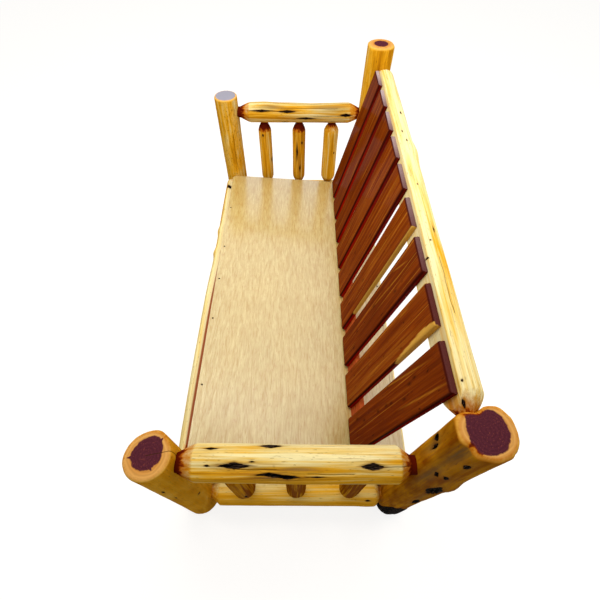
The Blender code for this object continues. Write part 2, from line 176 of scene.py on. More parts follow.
floor_mesh = bpy.data.meshes.new("studio_floor")
corners = [(x * FLOOR_HALF, y * FLOOR_HALF, 0) for x, y in ((-1, -1), (1, -1), (1, 1), (-1, 1))]
floor_mesh.from_pydata(corners, [], [(0, 1, 2, 3)])
floor = bpy.data.objects.new("studio_floor", floor_mesh)
scene.collection.objects.link(floor)
paper, t = new_finish("pale_studio_floor")
matt = add(t, "BsdfDiffuse", "#98948c")
glow = add(t, "Emission", "#ffffff", FLOOR_GLOW)
both = add(t, "AddShader", matt, glow)
surface = add(t, "MixShader", seen_directly(t), matt, both)
add(t, "OutputMaterial", surface)
floor_mesh.materials.append(paper)
print(len(LAMPS), "panels,", sum(lamp[-1] for lamp in LAMPS), "W")

# %% [markdown]
# ## Peeled logs
#
# Each log grew as a tree, was peeled with a drawknife and got a round tenon from a cutter like a giant
# pencil sharpener. It could be a cylinder with a bump map, but its outline would stay dead straight. A
# Geometry Nodes tree follows the rule instead: a grid is rolled round an axis, its radius runs from the
# tenon up the taper to the full girth, and noise adds swells, flutes and knife marks. The same tree makes
# posts, whose taper is only an eased edge. It also stores where in the wood each point lies, which the
# material needs for rings and heart.


# %% Geometry Nodes helpers
def new_tree(name, inputs):
    """An empty Geometry Nodes tree and its inputs' sockets, each with a default or a kind of socket."""
    kinds = {float: "Float", int: "Int", Vector: "Vector"}
    tree = bpy.data.node_groups.new(name, "GeometryNodeTree")
    for label, value in inputs.items():
        kind = kinds.get(type(value), value)
        socket = tree.interface.new_socket(label, in_out="INPUT", socket_type=f"NodeSocket{kind}")
        if type(value) in kinds:
            socket.default_value = value
    tree.interface.new_socket("Geometry", in_out="OUTPUT", socket_type="NodeSocketGeometry")
    print(name, "takes", ", ".join(inputs))
    return tree, tree.nodes.new("NodeGroupInput").outputs


def grown(name, tree, values, points=()):
    """A new object with the tree's result, which may grow on points, as its plain mesh."""
    piece = bpy.data.objects.new(name, bpy.data.meshes.new(name))
    piece.data.from_pydata(points, [], [])
    scene.collection.objects.link(piece)
    modifier = piece.modifiers.new(tree.name, "NODES")
    modifier.node_group = tree
    for item in tree.interface.items_tree:
        if item.in_out == "INPUT" and item.name in values:
            modifier[item.identifier] = values[item.name]
    bpy.context.view_layer.update()
    mesh = bpy.data.meshes.new_from_object(piece.evaluated_get(bpy.context.evaluated_depsgraph_get()))
    piece.modifiers.clear()
    piece.data = mesh
    mesh.name = name
    return piece


# %% The log tree
KNIFE_FACETS = 11  # flats that the knife leaves round a taper
MERGE = 1e-5  # points closer than this are one

log_tree, given = new_tree("peeled_log", {
    "Length": 1.0, "Radius": 0.05, "Tenon Radius": 0.02, "Tenon Length": 0.04, "Taper": 0.04,
    "Second Tenon": 0.04, "Second Taper": 0.04, "Roundness": 1.5, "Second Roundness": 1.5, "Swell": 0.001,
    "Flutes": 0.001, "Lobes": 0.0, "Knife": 0.0004, "Facets": 0.001, "Seed": 0.0, "Rings": 200, "Sides": 80,
    "Finish": "Material",
})
g = log_tree
length, radius, tenon = given["Length"], given["Radius"], given["Tenon Radius"]
seam = add(g, "ADD", given["Sides"], 1)
sheet = add(g, "MeshGrid", 1, 1, seam, given["Rings"])
across = add(g, "SeparateXYZ", sheet.node.outputs["UV Map"])
upward = across.node.outputs["Y"]
turn = add(g, "MULTIPLY", across, math.tau)
cosine = add(g, "COSINE", turn)
sine = add(g, "SINE", turn)
# The grid runs from the middle of one end face, up the log, to the middle of the other
run = add(g, "MULTIPLY_ADD", tenon, 2, length)
travel = add(g, "MULTIPLY", upward, run)
travel = add(g, "SUBTRACT", travel, tenon)
height = add(g, "Clamp", travel, 0, length)
from_top = add(g, "SUBTRACT", length, travel)
from_end = add(g, "MINIMUM", travel, from_top)
into_face = add(g, "MULTIPLY", tenon, -1)
face = add(g, "MapRange", from_end, into_face, 0)
second = add(g, "GREATER_THAN", upward, 0.5)
neck, slope, curve = [add(g, "MapRange", second, 0, 1, given[one], given[other]) for one, other in (
    ("Tenon Length", "Second Tenon"), ("Taper", "Second Taper"), ("Roundness", "Second Roundness"))]
shoulder = add(g, "ADD", neck, slope)
taper = add(g, "MapRange", from_end, neck, shoulder)
left = add(g, "SUBTRACT", 1, taper)
left = add(g, "POWER", left, curve)
rise = add(g, "SUBTRACT", 1, left)
girth = add(g, "MapRange", rise, 0, 1, tenon, radius)
# Noise read on a ring closes on itself where the grid's two edges meet
ring = add(g, "CombineXYZ", cosine, sine, height)
shift = add(g, "CombineXYZ", 0, 0, given["Seed"])
ring = add(g, "VECTOR_ADD", ring, shift)
change = 0
for amount, stretch, detail in (
    ("Swell", (0.5, 0.5, 3.0), 1), ("Flutes", (1.9, 1.9, 1.6), 2), ("Knife", (5.0, 5.0, 16.0), 2),
):
    place = add(g, "VECTOR_MULTIPLY", ring, stretch)
    noise = add(g, "TexNoise", Vector=place, Scale=1, Detail=detail)
    noise = add(g, "MapRange", noise, 0.25, 0.75, -1, 1, clamp=False)
    change = add(g, "MULTIPLY_ADD", noise, given[amount], change)
lobe = add(g, "MULTIPLY", sine, cosine)
lobe = add(g, "MULTIPLY", lobe, lobe)
lobe = add(g, "MULTIPLY", lobe, 4)
change = add(g, "MULTIPLY_ADD", lobe, given["Lobes"], change)
change = add(g, "MULTIPLY", change, taper)
knife = add(g, "MULTIPLY_ADD", turn, KNIFE_FACETS, given["Seed"])
knife = add(g, "SINE", knife)
knife = add(g, "ABSOLUTE", knife)
for share in (taper, left, given["Facets"]):
    knife = add(g, "MULTIPLY", knife, share)
girth = add(g, "ADD", girth, change)
girth = add(g, "SUBTRACT", girth, knife)
girth = add(g, "MULTIPLY", girth, face)
# Points go out along spokes from the axis
spoke = add(g, "CombineXYZ", cosine, sine)
spoke = add(g, "VECTOR_SCALE", spoke, girth)
axis = add(g, "CombineXYZ", 0, 0, height)
spot = add(g, "VECTOR_ADD", spoke, axis)
log = add(g, "SetPosition", sheet, Position=spot)
radii = add(g, "DIVIDE", 1, radius)
inside = add(g, "VECTOR_SCALE", spoke, radii)
inside = add(g, "VECTOR_ADD", inside, axis)
for label, kind, value in (
    ("wood", "FLOAT_VECTOR", inside), ("face", "FLOAT", face), ("taper", "FLOAT", taper),
):
    log = add(g, "StoreNamedAttribute", log, Name=label, Value=value, data_type=kind)
log = add(g, "MergeByDistance", log, Distance=MERGE)
log = add(g, "SetShadeSmooth", log)
log = add(g, "RealizeInstances", log)
log = add(g, "SetMaterial", log, Material=given["Finish"])
add(g, "NodeGroupOutput", log)
print("log tree:", len(g.nodes), "nodes")

# %% [markdown]
# ## Varnished cedar log
#
# Under a clear varnish the peeled sapwood is straw to honey coloured, and the heart of the log is red
# along the grain and purple on a sawn end. Knots and bark seams are nearly black. A flat texture could
# not show the heart where a cut goes deep, so this is a solid one: it reads the place inside the log that
# the tree stored, counted in log radii across and in metres along. Heart, rings, end grain and tenons
# then fall where they do in a tree.


# %% Sapwood of a log
def grain(tree, place, unit_mm, along, roughness, rows):
    """Noises drawn out along one axis, from rows of a width in millimetres, a length in metres, detail and
    warp. The unit is how many millimetres one step of the place is across the grain."""
    patterns = []
    for width, length, detail, warp in rows:
        stretch = [unit_mm / width] * 3
        stretch[along] = 1 / length
        stretched = add(tree, "VECTOR_MULTIPLY", place, stretch)
        patterns.append(add(tree, "TexNoise", Vector=stretched, Scale=1, Detail=detail, Roughness=roughness,
                            Distortion=warp))
    return patterns


LOG_RADIUS_MM = 50  # a typical log, to turn millimetres across the grain into radii
# Fibre and rings are drawn about twice their real width, so that they show
STREAK_MM, FIBRE_MM, FLECK_MM, CLOUD_MM, HAIR_MM, MOTTLE_MM, PECK_MM = 9.0, 2.2, 2.6, 34, 2.4, 30, 5.0
LOG_WARP = 0.25
MIDDLE = (0.3, 0.7)  # most of a noise lies between these

cedar_log, t = new_finish("varnished_peeled_cedar")
wood = add(t, "Attribute", out="Vector", attribute_name="wood")
seed, tone, figure, heart, face, taper, eased, pale_end, knot, smudge_shade_and_sheen, check = [
    add(t, "Attribute", out="Fac", attribute_name=label) for label in (
        "seed", "tone", "figure", "heart", "face", "taper", "eased", "pale_end", "knot", "smudge_shade_and_sheen", "check")]
offset = add(t, "CombineXYZ", 0, 0, seed)
place = add(t, "VECTOR_ADD", wood, offset)
streak, fibre, fleck, cloud, hair, mottle, peck = grain(t, place, LOG_RADIUS_MM, 2, 0.55, (
    (STREAK_MM, 0.30, 4, LOG_WARP), (FIBRE_MM, 0.10, 3, LOG_WARP), (FLECK_MM, 0.018, 1, LOG_WARP),
    (CLOUD_MM, 0.34, 2, LOG_WARP), (HAIR_MM, 0.20, 2, LOG_WARP), (MOTTLE_MM, 0.12, 2, LOG_WARP),
    (PECK_MM, 0.014, 1, LOG_WARP)))
# Straw where the tone is low, amber where it is high, streaked along the grain. The pale streaks are partly
# the wood's own and partly painted highlights of the varnish
deep = tone
for noise, most, where in ((streak, 0.26, figure), (cloud, 0.20, figure), (mottle, 0.14, eased)):
    deeper = add(t, "MapRange", noise, *MIDDLE, -most, most)
    deep = add(t, "MULTIPLY_ADD", deeper, where, deep)
colour = add(t, "ValToRGB", deep, ramp=(
    (0, "#efdda0"), (0.28, "#e8c46c"), (0.45, "#e6aa2c"), (0.6, "#dc9914"), (1, "#8c4a02")))
shine = add(t, "MapRange", fibre, 0.35, 0.7, 0.86, 1.04)
colour = add(t, "Mix", 1, colour, shine, **RGBA, blend_type="MULTIPLY")
# Flecks everywhere, pecks on a pale log, hair-thin lines in the figure, and grey brown smudges: real ones
# round knots, painted shade along grooves and a painted sheen on the far arm
ALL_OVER = 1.0
for noise, span, where, code in (
    (fleck, (0.66, 0.74, 0, 0.55), ALL_OVER, "#6e3f08"), (peck, (0.60, 0.72, 0, 0.6), pale_end, "#7a4a08"),
    (hair, (0.60, 0.70, 0, 0.5), figure, "#94601a"), (streak, (0.3, 0.65, 0.15, 0.85), smudge_shade_and_sheen, "#80683f"),
):
    share = add(t, "MapRange", noise, *span)
    share = add(t, "MULTIPLY", share, where)
    colour = add(t, "Mix", share, colour, code, **RGBA)
print("sapwood:", len(t.nodes), "nodes")

# %% Sawn ends, rims and flats of a log
RING_MM = 6.4
# Growth rings show where a cut crosses them
flat_wood = add(t, "VECTOR_MULTIPLY", wood, (1, 1, 0))
depth = add(t, "VECTOR_LENGTH", flat_wood)
wander = add(t, "MULTIPLY_ADD", cloud, 0.25, depth)
rings = add(t, "MULTIPLY", wander, math.tau * LOG_RADIUS_MM / RING_MM)
rings = add(t, "SINE", rings)
rings = add(t, "MapRange", rings, -1, 1, 0.86, 1.03)
outward = add(t, "MapRange", depth, 0.6, 0.9)
end_sap = add(t, "Mix", outward, "#c8863c", "#d9a257", **RGBA)
end_sap = add(t, "Mix", 1, end_sap, rings, **RGBA, blend_type="MULTIPLY")
on_end = add(t, "MapRange", face, 0.90, 0.99, 1, 0)
# The eased rim of a sawn post: the end's colour where the knife cut deepest, then pale gold as a painted
# highlight, then the colour of the side
rim = add(t, "ValToRGB", taper, ramp=((0, "#d9a257"), (0.35, "#e6b24c"), (1, "#c07e16")))
rim_highlight = add(t, "MapRange", taper, 0.45, 1, 1, 0)
rim_highlight = add(t, "MULTIPLY", rim_highlight, eased)
# The flats that were sawn along a rail are duller than its peeled round
sawn = add(t, "MapRange", depth, 0.90, 0.97, 1, 0)
whole = add(t, "GREATER_THAN", taper, 0.98)
for share in (whole, face):
    sawn = add(t, "MULTIPLY", sawn, share)
dull = add(t, "MULTIPLY", sawn, 0.5)
for share, paint in ((rim_highlight, rim), (on_end, end_sap), (dull, "#cbb98e")):
    colour = add(t, "Mix", share, colour, paint, **RGBA)
print("with its cuts:", len(t.nodes), "nodes")

# %% Heart of a log
# Its edge is jagged on a sawn end and streaky on a taper
towards = add(t, "VECTOR_NORMALIZE", flat_wood)
towards = add(t, "VECTOR_ADD", towards, offset)
spikes = add(t, "TexNoise", Vector=towards, Scale=2.3, Detail=3, Roughness=0.6)
on_taper = add(t, "MapRange", taper, 0.8, 1, 0.34, 0.08)
jag = add(t, "MapRange", on_end, 0, 1, on_taper, 0.18)
spikes = add(t, "SUBTRACT", spikes, 0.5)
edge = add(t, "MULTIPLY_ADD", spikes, jag, heart)
cone = add(t, "MapRange", taper, 0.85, 0.98, 1, 0)
cone = add(t, "SUBTRACT", cone, on_end, use_clamp=True)
lick = add(t, "MapRange", streak, *MIDDLE, -0.10, 0.10)
edge = add(t, "MULTIPLY_ADD", lick, cone, edge)
within = add(t, "SUBTRACT", edge, depth)
amber = add(t, "MapRange", within, -0.45, 0)
amber = add(t, "MULTIPLY", amber, cone)
is_heart = add(t, "MapRange", within, -0.015, 0.03)
near_edge = add(t, "MapRange", within, 0, 0.12)
red = add(t, "Mix", near_edge, "#94400a", "#561403", **RGBA)
red = add(t, "Mix", sawn, red, "#8e4c2d", **RGBA)
purple = add(t, "Mix", fibre, "#5e2a32", "#421c26", **RGBA)
purple = add(t, "Mix", 1, purple, rings, **RGBA, blend_type="MULTIPLY")
rust = add(t, "MapRange", fleck, 0.60, 0.72, 0, 0.45)
purple = add(t, "Mix", rust, purple, "#8a4434", **RGBA)
heartwood = add(t, "Mix", on_end, red, purple, **RGBA)
weathered = add(t, "MULTIPLY", on_end, pale_end)
for share, paint in ((amber, "#b4690f"), (is_heart, heartwood), (weathered, "#918e98")):
    colour = add(t, "Mix", share, colour, paint, **RGBA)
print("with its heart:", len(t.nodes), "nodes")

# %% Knots, checks and varnish of a log
# Knots and bark seams have a dark amber halo round a nearly black core, both with ragged edges
rag = add(t, "SUBTRACT", fleck, 0.5)
ragged = add(t, "MULTIPLY_ADD", rag, 0.5, knot)
halo = add(t, "MapRange", ragged, -0.4, 0.15, 0, 0.7)
core = add(t, "MapRange", ragged, 0, 0.12)
# The core's lighter flecks are partly crumbled bark and partly painted glints
crumb_and_glint = add(t, "MapRange", fleck, 0.50, 0.75)
bark = add(t, "Mix", crumb_and_glint, "#060302", "#4c3a30", **RGBA)
# Drying checks are thin dark lines
line = add(t, "ABSOLUTE", check)
line = add(t, "MapRange", line, 0.0004, 0.0013, 0.85, 0)
for share, paint in ((halo, "#7d480c"), (core, bark), (line, "#3a2208")):
    colour = add(t, "Mix", share, colour, paint, **RGBA)
rough = add(t, "MapRange", streak, 0, 1, 0.34, 0.54)
rough = add(t, "MULTIPLY_ADD", core, 0.25, rough)
relief = add(t, "MULTIPLY", fibre, 0.35)
crumbs = add(t, "MULTIPLY", fleck, 5)
relief = add(t, "MULTIPLY_ADD", core, crumbs, relief)
relief = add(t, "MULTIPLY_ADD", line, -1, relief)
bump = add(t, "Bump", Strength=0.5, Distance=0.0012, Height=relief)
varnish = add(t, "BsdfPrincipled", **{
    "Base Color": colour, "Roughness": rough, "Normal": bump, "IOR": 1.5, "Specular IOR Level": 0,
    "Coat Weight": 0.014, "Coat Roughness": 0.2})
add(t, "OutputMaterial", varnish)
print("cedar log material:", len(t.nodes), "nodes")

# %% [markdown]
# ## Knots, bulges and checks
#
# A peeled log keeps the marks of its branches: black almond-shaped hollows where bark grew in, a swelling
# where a limb left, and cracks from drying. They could be noise, but the picture shows where the large
# ones are. So each log has a short list of marks, given by the distance along it and the angle round it.
# This step pushes the surface in or out there and stores how near each point is to a mark, so that colour
# and shape agree.

# %% Marks on a log
FAR_FROM_CHECK, CHECK_DEPTH, CHECK_HALF = 0.05, 0.0012, 0.004
WOBBLE, RIPPLE = (0.0011, 34), (0.0005, 97)  # how far a check strays, and how fast along the log
BARK_FADE, BARK_THICKNESS = 0.030, 0.0015
LIP_HEIGHT, LIP_PLACE, LIP_WIDTH = 0.25, -0.35, 0.5  # round a knot, in shares of its depth and size
PINCH = ((1.5, 3.0, 6.0), (1.8, 1.15, 0.85))  # a knot's length for its width, and how blunt it then is
STAIN, STAIN_LENGTH, STAIN_WIDTH = 0.5, 1.8, 1.5  # round a knot, in shares of its size
SKIN, OUTERMOST = 0.75, 1.3  # in radii: dents stay outside the first, and the second is the most that counts
MM_PER_METRE = 1000


def write_attribute(mesh, name, values):
    attribute = mesh.attributes.get(name) or mesh.attributes.new(name, "FLOAT", "POINT")
    attribute.data.foreach_set("value", np.broadcast_to(values, len(mesh.vertices)).astype(np.float32))


def read_vectors(mesh, name):
    values = np.empty(len(mesh.vertices) * 3, np.float32)
    mesh.attributes[name].data.foreach_get("vector", values)
    return values.reshape(-1, 3).astype(float)


def in_metres(marks):
    """Marks from millimetres. The angle, which comes second, stays in degrees."""
    return [[v if i == 1 else v / MM_PER_METRE for i, v in enumerate(mark)] for mark in marks]


def mark_log(mesh, radius, knots=(), grooves=(), bulges=(), checks=(), bark=()):
    """Knots and grooves are (along, angle, half length, half width, depth), bulges the same with a height,
    checks (along, angle, half length), and bark the (angle, height) up to which it was left on the foot.
    Lengths are in millimetres and angles in degrees."""
    wood = read_vectors(mesh, "wood")
    angle = np.arctan2(wood[:, 1], wood[:, 0])
    depth_share = np.clip(np.hypot(wood[:, 0], wood[:, 1]), 0, OUTERMOST)
    spots = np.empty(len(mesh.vertices) * 3)
    mesh.vertices.foreach_get("co", spots)
    spots = spots.reshape(-1, 3)
    spoke = np.stack([np.cos(angle), np.sin(angle), np.zeros(len(angle))], 1)

    def offsets(along, degrees):
        round_log = (angle - math.radians(degrees) + math.pi) % math.tau - math.pi
        return wood[:, 2] - along, round_log * radius

    def mound(along, degrees, half_length, half_width):
        dz, da = offsets(along, degrees)
        return np.exp(-((dz / half_length) ** 2) - (da / half_width) ** 2)

    swelling, smudge_shade_and_sheen, dent = np.zeros((3, len(angle)))
    for *where, height in in_metres(bulges):
        swelling += height * mound(*where)
    # A groove also darkens the colour: painted shade in its hollow, and, where it has no depth, a grey brown
    # smudge that partly paints a sheen
    for *where, depth in in_metres(grooves):
        hollow = mound(*where)
        swelling -= depth * hollow
        smudge_shade_and_sheen = np.maximum(smudge_shade_and_sheen, hollow)
    nearest = np.full(len(angle), -1.0)
    for along, degrees, half_length, half_width, depth in in_metres(knots):
        dz, da = offsets(along, degrees)
        # A long knot ends in points, and a short one is nearly round
        pinch = np.interp(half_length / half_width, *PINCH)
        near = 1 - (np.abs(dz / half_length) ** pinch + np.abs(da / half_width) ** pinch) ** (1 / pinch)
        nearest = np.maximum(nearest, near)
        hollow = np.clip(near, 0, 1)
        lip = np.clip(1 - np.abs(near - LIP_PLACE) / LIP_WIDTH, 0, 1)
        dent += depth * (LIP_HEIGHT * lip - hollow * hollow * (3 - 2 * hollow))
        around = mound(along, degrees, STAIN_LENGTH * half_length, STAIN_WIDTH * half_width)
        smudge_shade_and_sheen = np.maximum(smudge_shade_and_sheen, STAIN * around)
    if bark:
        angles, heights = zip(*bark)
        edge = np.interp(np.degrees(angle), angles, np.array(heights) / MM_PER_METRE, period=360)
        left_on = np.clip((edge - wood[:, 2]) / BARK_FADE, -1, 1)
        nearest = np.maximum(nearest, left_on)
        swelling += BARK_THICKNESS * np.clip(left_on * 2, 0, 1)
    signed = np.full(len(angle), FAR_FROM_CHECK)
    for along, degrees, half_length in in_metres(checks):
        dz, da = offsets(along, degrees)
        wobble = WOBBLE[0] * np.sin(wood[:, 2] * WOBBLE[1] + degrees)
        wobble += RIPPLE[0] * np.sin(wood[:, 2] * RIPPLE[1])
        past = np.clip(np.abs(dz) - half_length, 0, None)
        off_line = da * depth_share + wobble
        reach = np.sign(off_line) * (np.abs(off_line) + past)
        signed = np.where(np.abs(reach) < np.abs(signed), reach, signed)
        dent -= CHECK_DEPTH * np.clip(1 - np.abs(reach) / CHECK_HALF, 0, 1)
    spots += spoke * (swelling * depth_share + dent * (depth_share > SKIN))[:, None]
    mesh.vertices.foreach_set("co", spots.ravel())
    for label, value in (("knot", nearest), ("smudge_shade_and_sheen", smudge_shade_and_sheen), ("check", signed)):
        write_attribute(mesh, label, value)


print("bark is", BARK_THICKNESS * MM_PER_METRE, "mm thick")

# %% [markdown]
# ## Every log in its place
#
# One row for each log gives its place, size, colour and marks. The rails that carry boards are sawn flat.
# That cut is made last, by slicing the mesh with the plane of the boards, and the wood coordinates run
# through the cut.

# %% Making a log
POINT_SPACING, TOP_SPACING, FINE_SPACING = 0.0040, 0.0031, 0.0026  # finer points nearer the camera
SWELL, KNIFE_MARKS = 0.0010, 0.00035
KNOTS_PER_AREA, UNSEEN_HALF = 75, 40  # per square metre of length times radius, and degrees to each side
KNOT_PLACES, KNOT_LONG, KNOT_WIDE, KNOT_DEEP = (0.15, 0.85), (8, 34), (5, 9), 3  # by chance, in millimetres
CHECK_PLACES, CHECK_REACH = (0.3, 0.7), 0.15  # places along a log are shares of its length


def slice_flat(mesh, point, outward):
    """Saws away what lies beyond a plane and closes the cut."""
    work = bmesh.new()
    work.from_mesh(mesh)
    geometry = work.verts[:] + work.edges[:] + work.faces[:]
    bmesh.ops.bisect_plane(work, geom=geometry, plane_co=point, plane_no=outward, clear_outer=True)
    rim = [e for e in work.edges if e.is_boundary]
    for made in bmesh.ops.holes_fill(work, edges=rim)["faces"]:
        made.smooth = False
    work.to_mesh(mesh)
    work.free()


def stand_for(piece, slot_name, *nodes):
    """Hides the imported nodes that a piece stands for and hangs the piece on the root body. The slot name
    is not used.
    """
    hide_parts(*nodes)
    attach(piece, "root")


def add_log(node, at, turn, length, radius, tenon, tenon_length, taper, roundness, facets=0.0012,
            flutes=0.0010, lobes=0.0, tone=0.5, amber=(0, 0), heart=(0.6,), star=(), pale_end=0.0,
            figure=1.0, eased=0.0, second=None, spacing=POINT_SPACING, flat=None, unseen=180, knots=(),
            checks=(), **marks):
    """A log in its place. Second is the far end's tenon length, taper and roundness, where they differ.
    Amber is the angle of a side that is painted darker and more amber as painted shade, then how much darker
    it is at even steps along the log. Heart gives the heart's reach at such steps, and star its outline on a
    sawn end, as pairs of an angle and a share of the radius. Unseen is the middle of the side that the
    picture doesn't show, which gets chance marks."""
    draw = random.Random(node)
    seed = draw.uniform(0, 40)
    long_mm = length * MM_PER_METRE
    for _ in range(round(length * radius * KNOTS_PER_AREA)):
        along, aside = long_mm * draw.uniform(*KNOT_PLACES), draw.uniform(-UNSEEN_HALF, UNSEEN_HALF)
        half_length, half_width = draw.uniform(*KNOT_LONG), draw.uniform(*KNOT_WIDE)
        knots = (*knots, (along, unseen + aside, half_length, half_width, KNOT_DEEP))
    along, aside = long_mm * draw.uniform(*CHECK_PLACES), draw.uniform(-UNSEEN_HALF, UNSEEN_HALF)
    checks = (*checks, (along, unseen + aside, CHECK_REACH * long_mm))
    second = second or (tenon_length, taper, roundness)
    piece = grown(node + "_log", log_tree, {
        "Length": length, "Radius": radius, "Tenon Radius": tenon, "Tenon Length": tenon_length,
        "Taper": taper, "Second Tenon": second[0], "Second Taper": second[1], "Roundness": roundness,
        "Second Roundness": second[2], "Swell": SWELL, "Flutes": flutes, "Lobes": lobes,
        "Knife": KNIFE_MARKS, "Facets": facets, "Seed": seed, "Rings": round((length + 2 * tenon) / spacing),
        "Sides": round(math.tau * radius / spacing), "Finish": cedar_log,
    })
    mesh = piece.data
    mark_log(mesh, radius, knots=knots, checks=checks, **marks)
    wood = read_vectors(mesh, "wood")
    angle = np.arctan2(wood[:, 1], wood[:, 0])
    heart_edge = np.interp(wood[:, 2] / length, np.linspace(0, 1, len(heart)), heart)
    if star:
        angles, reaches = zip(*sorted(star))
        heart_edge = np.interp(np.degrees(angle), angles, reaches, period=360)
    # The amber side gets painted shade: its tone is raised there, so it is painted darker and more amber
    painted_side_shade = np.interp(wood[:, 2] / length, np.linspace(0, 1, len(amber) - 1), amber[1:])
    tone = tone + painted_side_shade * np.clip(np.cos(angle - math.radians(amber[0])), 0, 1) ** 2
    for label, value in (("seed", seed), ("tone", tone), ("heart", heart_edge), ("pale_end", pale_end),
                         ("figure", figure), ("eased", eased)):
        write_attribute(mesh, label, value)
    mesh.transform(Matrix.Translation(at) @ turn.to_matrix().to_4x4())
    if flat:
        slice_flat(mesh, *flat)
    stand_for(piece, "cedar_log", node)
    print(node, len(mesh.polygons), "faces")


print("unseen sides get", KNOTS_PER_AREA, "knots for a square metre of length times radius")

# %% Posts
UPRIGHT, ALONG_ARM, ALONG_SEAT = Euler((0, 0, 0)), Euler((-math.pi / 2, 0, 0)), Euler((0, math.pi / 2, 0))
ARM_X, POST_Y = 0.902, 0.379
POST = dict(turn=UPRIGHT, tenon_length=0.0, taper=0.0085, roundness=2.0, facets=0.0, eased=1.0)
BACK_POST = dict(POST, length=0.9056, radius=0.0610, tenon=0.0545)
NEAR_STAR = [(-127, 0.65), (-104, 0.67), (-90, 0.64), (-86, 0.74), (-83, 0.84), (-79, 0.68), (-63, 0.58),
             (-44, 0.63), (-20, 0.58), (4, 0.57), (27, 0.60), (32, 0.70), (36, 0.59), (52, 0.58), (70, 0.62),
             (101, 0.65), (118, 0.72), (134, 0.76), (139, 0.80), (142, 0.96), (145, 0.80), (172, 0.74),
             (-167, 0.70), (-144, 0.70)]
BACK_STAR = [(-160, 0.95), (-129, 0.95), (-118, 0.76), (-96, 0.68), (-75, 0.72), (-62, 0.80), (-54, 1.02),
             (-46, 0.95), (-33, 0.90), (0, 0.80), (60, 0.7), (120, 0.7), (170, 0.85)]

add_log("post_front_right", (ARM_X, -0.375, 0), length=0.668, radius=0.0625, tenon=0.0570, **POST, tone=0.56,
        star=NEAR_STAR, figure=0.25, spacing=FINE_SPACING, unseen=-120,
        knots=[(516, 10, 16, 4, 2), (289, 60, 6, 5, 2), (400, 13, 22, 3, 1)],
        bulges=[(640, 163, 350, 30, 6), (640, -112, 350, 60, -4), (0, 30, 220, 200, 5)],
        checks=[(640, 102, 60)])
add_log("post_back_right", (ARM_X, POST_Y, 0), **BACK_POST, tone=0.84, star=BACK_STAR, figure=0.30,
        lobes=0.003, flutes=0.003, spacing=FINE_SPACING, unseen=120,
        knots=[(787, -109, 18, 8, 6), (688, -44, 16, 6, 2), (717, -28, 14, 6, 2), (837, -27, 16, 7, 3),
               (578, -13, 65, 21, 8), (370, -4, 50, 10, 5), (752, -99, 40, 5, 6)],
        bark=[(-140, -50), (-75, 30), (-52, 70), (-30, 180), (-8, 200), (30, 150), (60, 30), (120, -50)],
        grooves=[(750, -97, 50, 12, 10), (840, -52, 100, 14, 12), (660, -50, 120, 14, 10),
                 (450, -10, 90, 6, 4)],
        bulges=[(950, -163, 200, 30, -24), (625, 12, 35, 26, 7), (470, 2, 100, 12, 4)])
add_log("post_front_left", (-ARM_X, -0.384, 0), length=0.674, radius=0.0590, tenon=0.0540, **POST, tone=0.46,
        heart=(0.5,), pale_end=1.0, figure=0.8, knots=[(598, -77, 14, 8, 3)],
        checks=[(400, 20, 100), (500, -30, 60)])
add_log("post_back_left", (-ARM_X, POST_Y, 0), **BACK_POST, tone=0.56, heart=(0.55,), lobes=0.004,
        flutes=0.0025)

# %% Arms
ARM_START, LOWER_Z = -0.349, 0.122
ARM_RAIL = dict(turn=ALONG_ARM, length=0.698, unseen=120)
UPPER = dict(ARM_RAIL, tenon=0.0255, tenon_length=0.033, taper=0.054, roundness=1.25)
LOWER = dict(ARM_RAIL, radius=0.0475, tenon=0.0208, tenon_length=0.035, taper=0.036, roundness=1.0)
SPINDLE = dict(turn=UPRIGHT, length=0.435, tenon=0.0158, tenon_length=0.034, taper=0.046, roundness=1.5)
SPINDLE_FOOT = LOWER_Z + 0.019

add_log("arm_rail_right", (ARM_X, ARM_START, 0.597), **UPPER, radius=0.0495, second=(0.043, 0.034, 1.05),
        tone=0.11, amber=(-22, 0.20, 0.26, 0.50, 0.50, 0.42, 0.42), heart=(0.78, 0.70), flutes=0.0018,
        figure=1.15, spacing=FINE_SPACING,
        knots=[(128, -122, 30, 5, 4), (285, -135, 33, 10, 5), (194, -70, 50, 10, 6), (239, -82, 16, 2.5, 1),
               (283, -45, 40, 7, 6), (329, -36, 38, 8, 6), (305, -41, 90, 3, 3), (547, -71, 35, 10, 6),
               (125, -70, 12, 3, 1), (405, -39, 30, 3, 2), (200, -71, 80, 2.5, 2)],
        grooves=[(305, -38, 60, 16, 3), (150, -70, 30, 8, 1), (360, -64, 50, 6, 1)],
        bulges=[(170, -34, 100, 16, 4.5), (225, -56, 70, 10, -3.5), (320, -58, 90, 10, 3),
                (400, -14, 120, 12, 4), (300, -95, 120, 25, 2.5)],
        checks=[(605, -71, 40), (250, -60, 50), (440, -48, 60)])
add_log("arm_rail_left", (-ARM_X, ARM_START, 0.592), **UPPER, radius=0.0465, tone=0.30, heart=(0.76, 0.72),
        flutes=0.0022, figure=1.3, amber=(0, 0.10),
        # These grooves have no depth: their grey brown smudges are partly the arm's own colour and partly a
        # painted sheen
        grooves=[(500, -50, 120, 30, 0), (200, -60, 80, 20, 0), (360, -92, 400, 14, 0)],
        bulges=[(160, -100, 50, 40, 3), (420, -95, 70, 40, -3), (600, -90, 50, 40, 3)],
        knots=[(150, -34, 90, 7, 4), (285, -31, 70, 8, 4), (385, 11, 70, 8, 4), (595, -13, 40, 9, 4),
               (272, 49, 24, 5, 2)],
        checks=[(215, -33, 100), (400, -50, 150), (520, -5, 100)])
add_log("arm_lower_rail_right", (ARM_X, ARM_START, LOWER_Z), **LOWER, tone=0.33, amber=(0, 0.25), figure=0.6,
        heart=(0.40,), second=(0.035, 0.026, 2.2), spacing=FINE_SPACING, knots=[(612, -48, 12, 4, 1)],
        bulges=[(610, -30, 30, 30, 4)])
add_log("arm_lower_rail_left", (-ARM_X, ARM_START, LOWER_Z), **LOWER, tone=0.5)
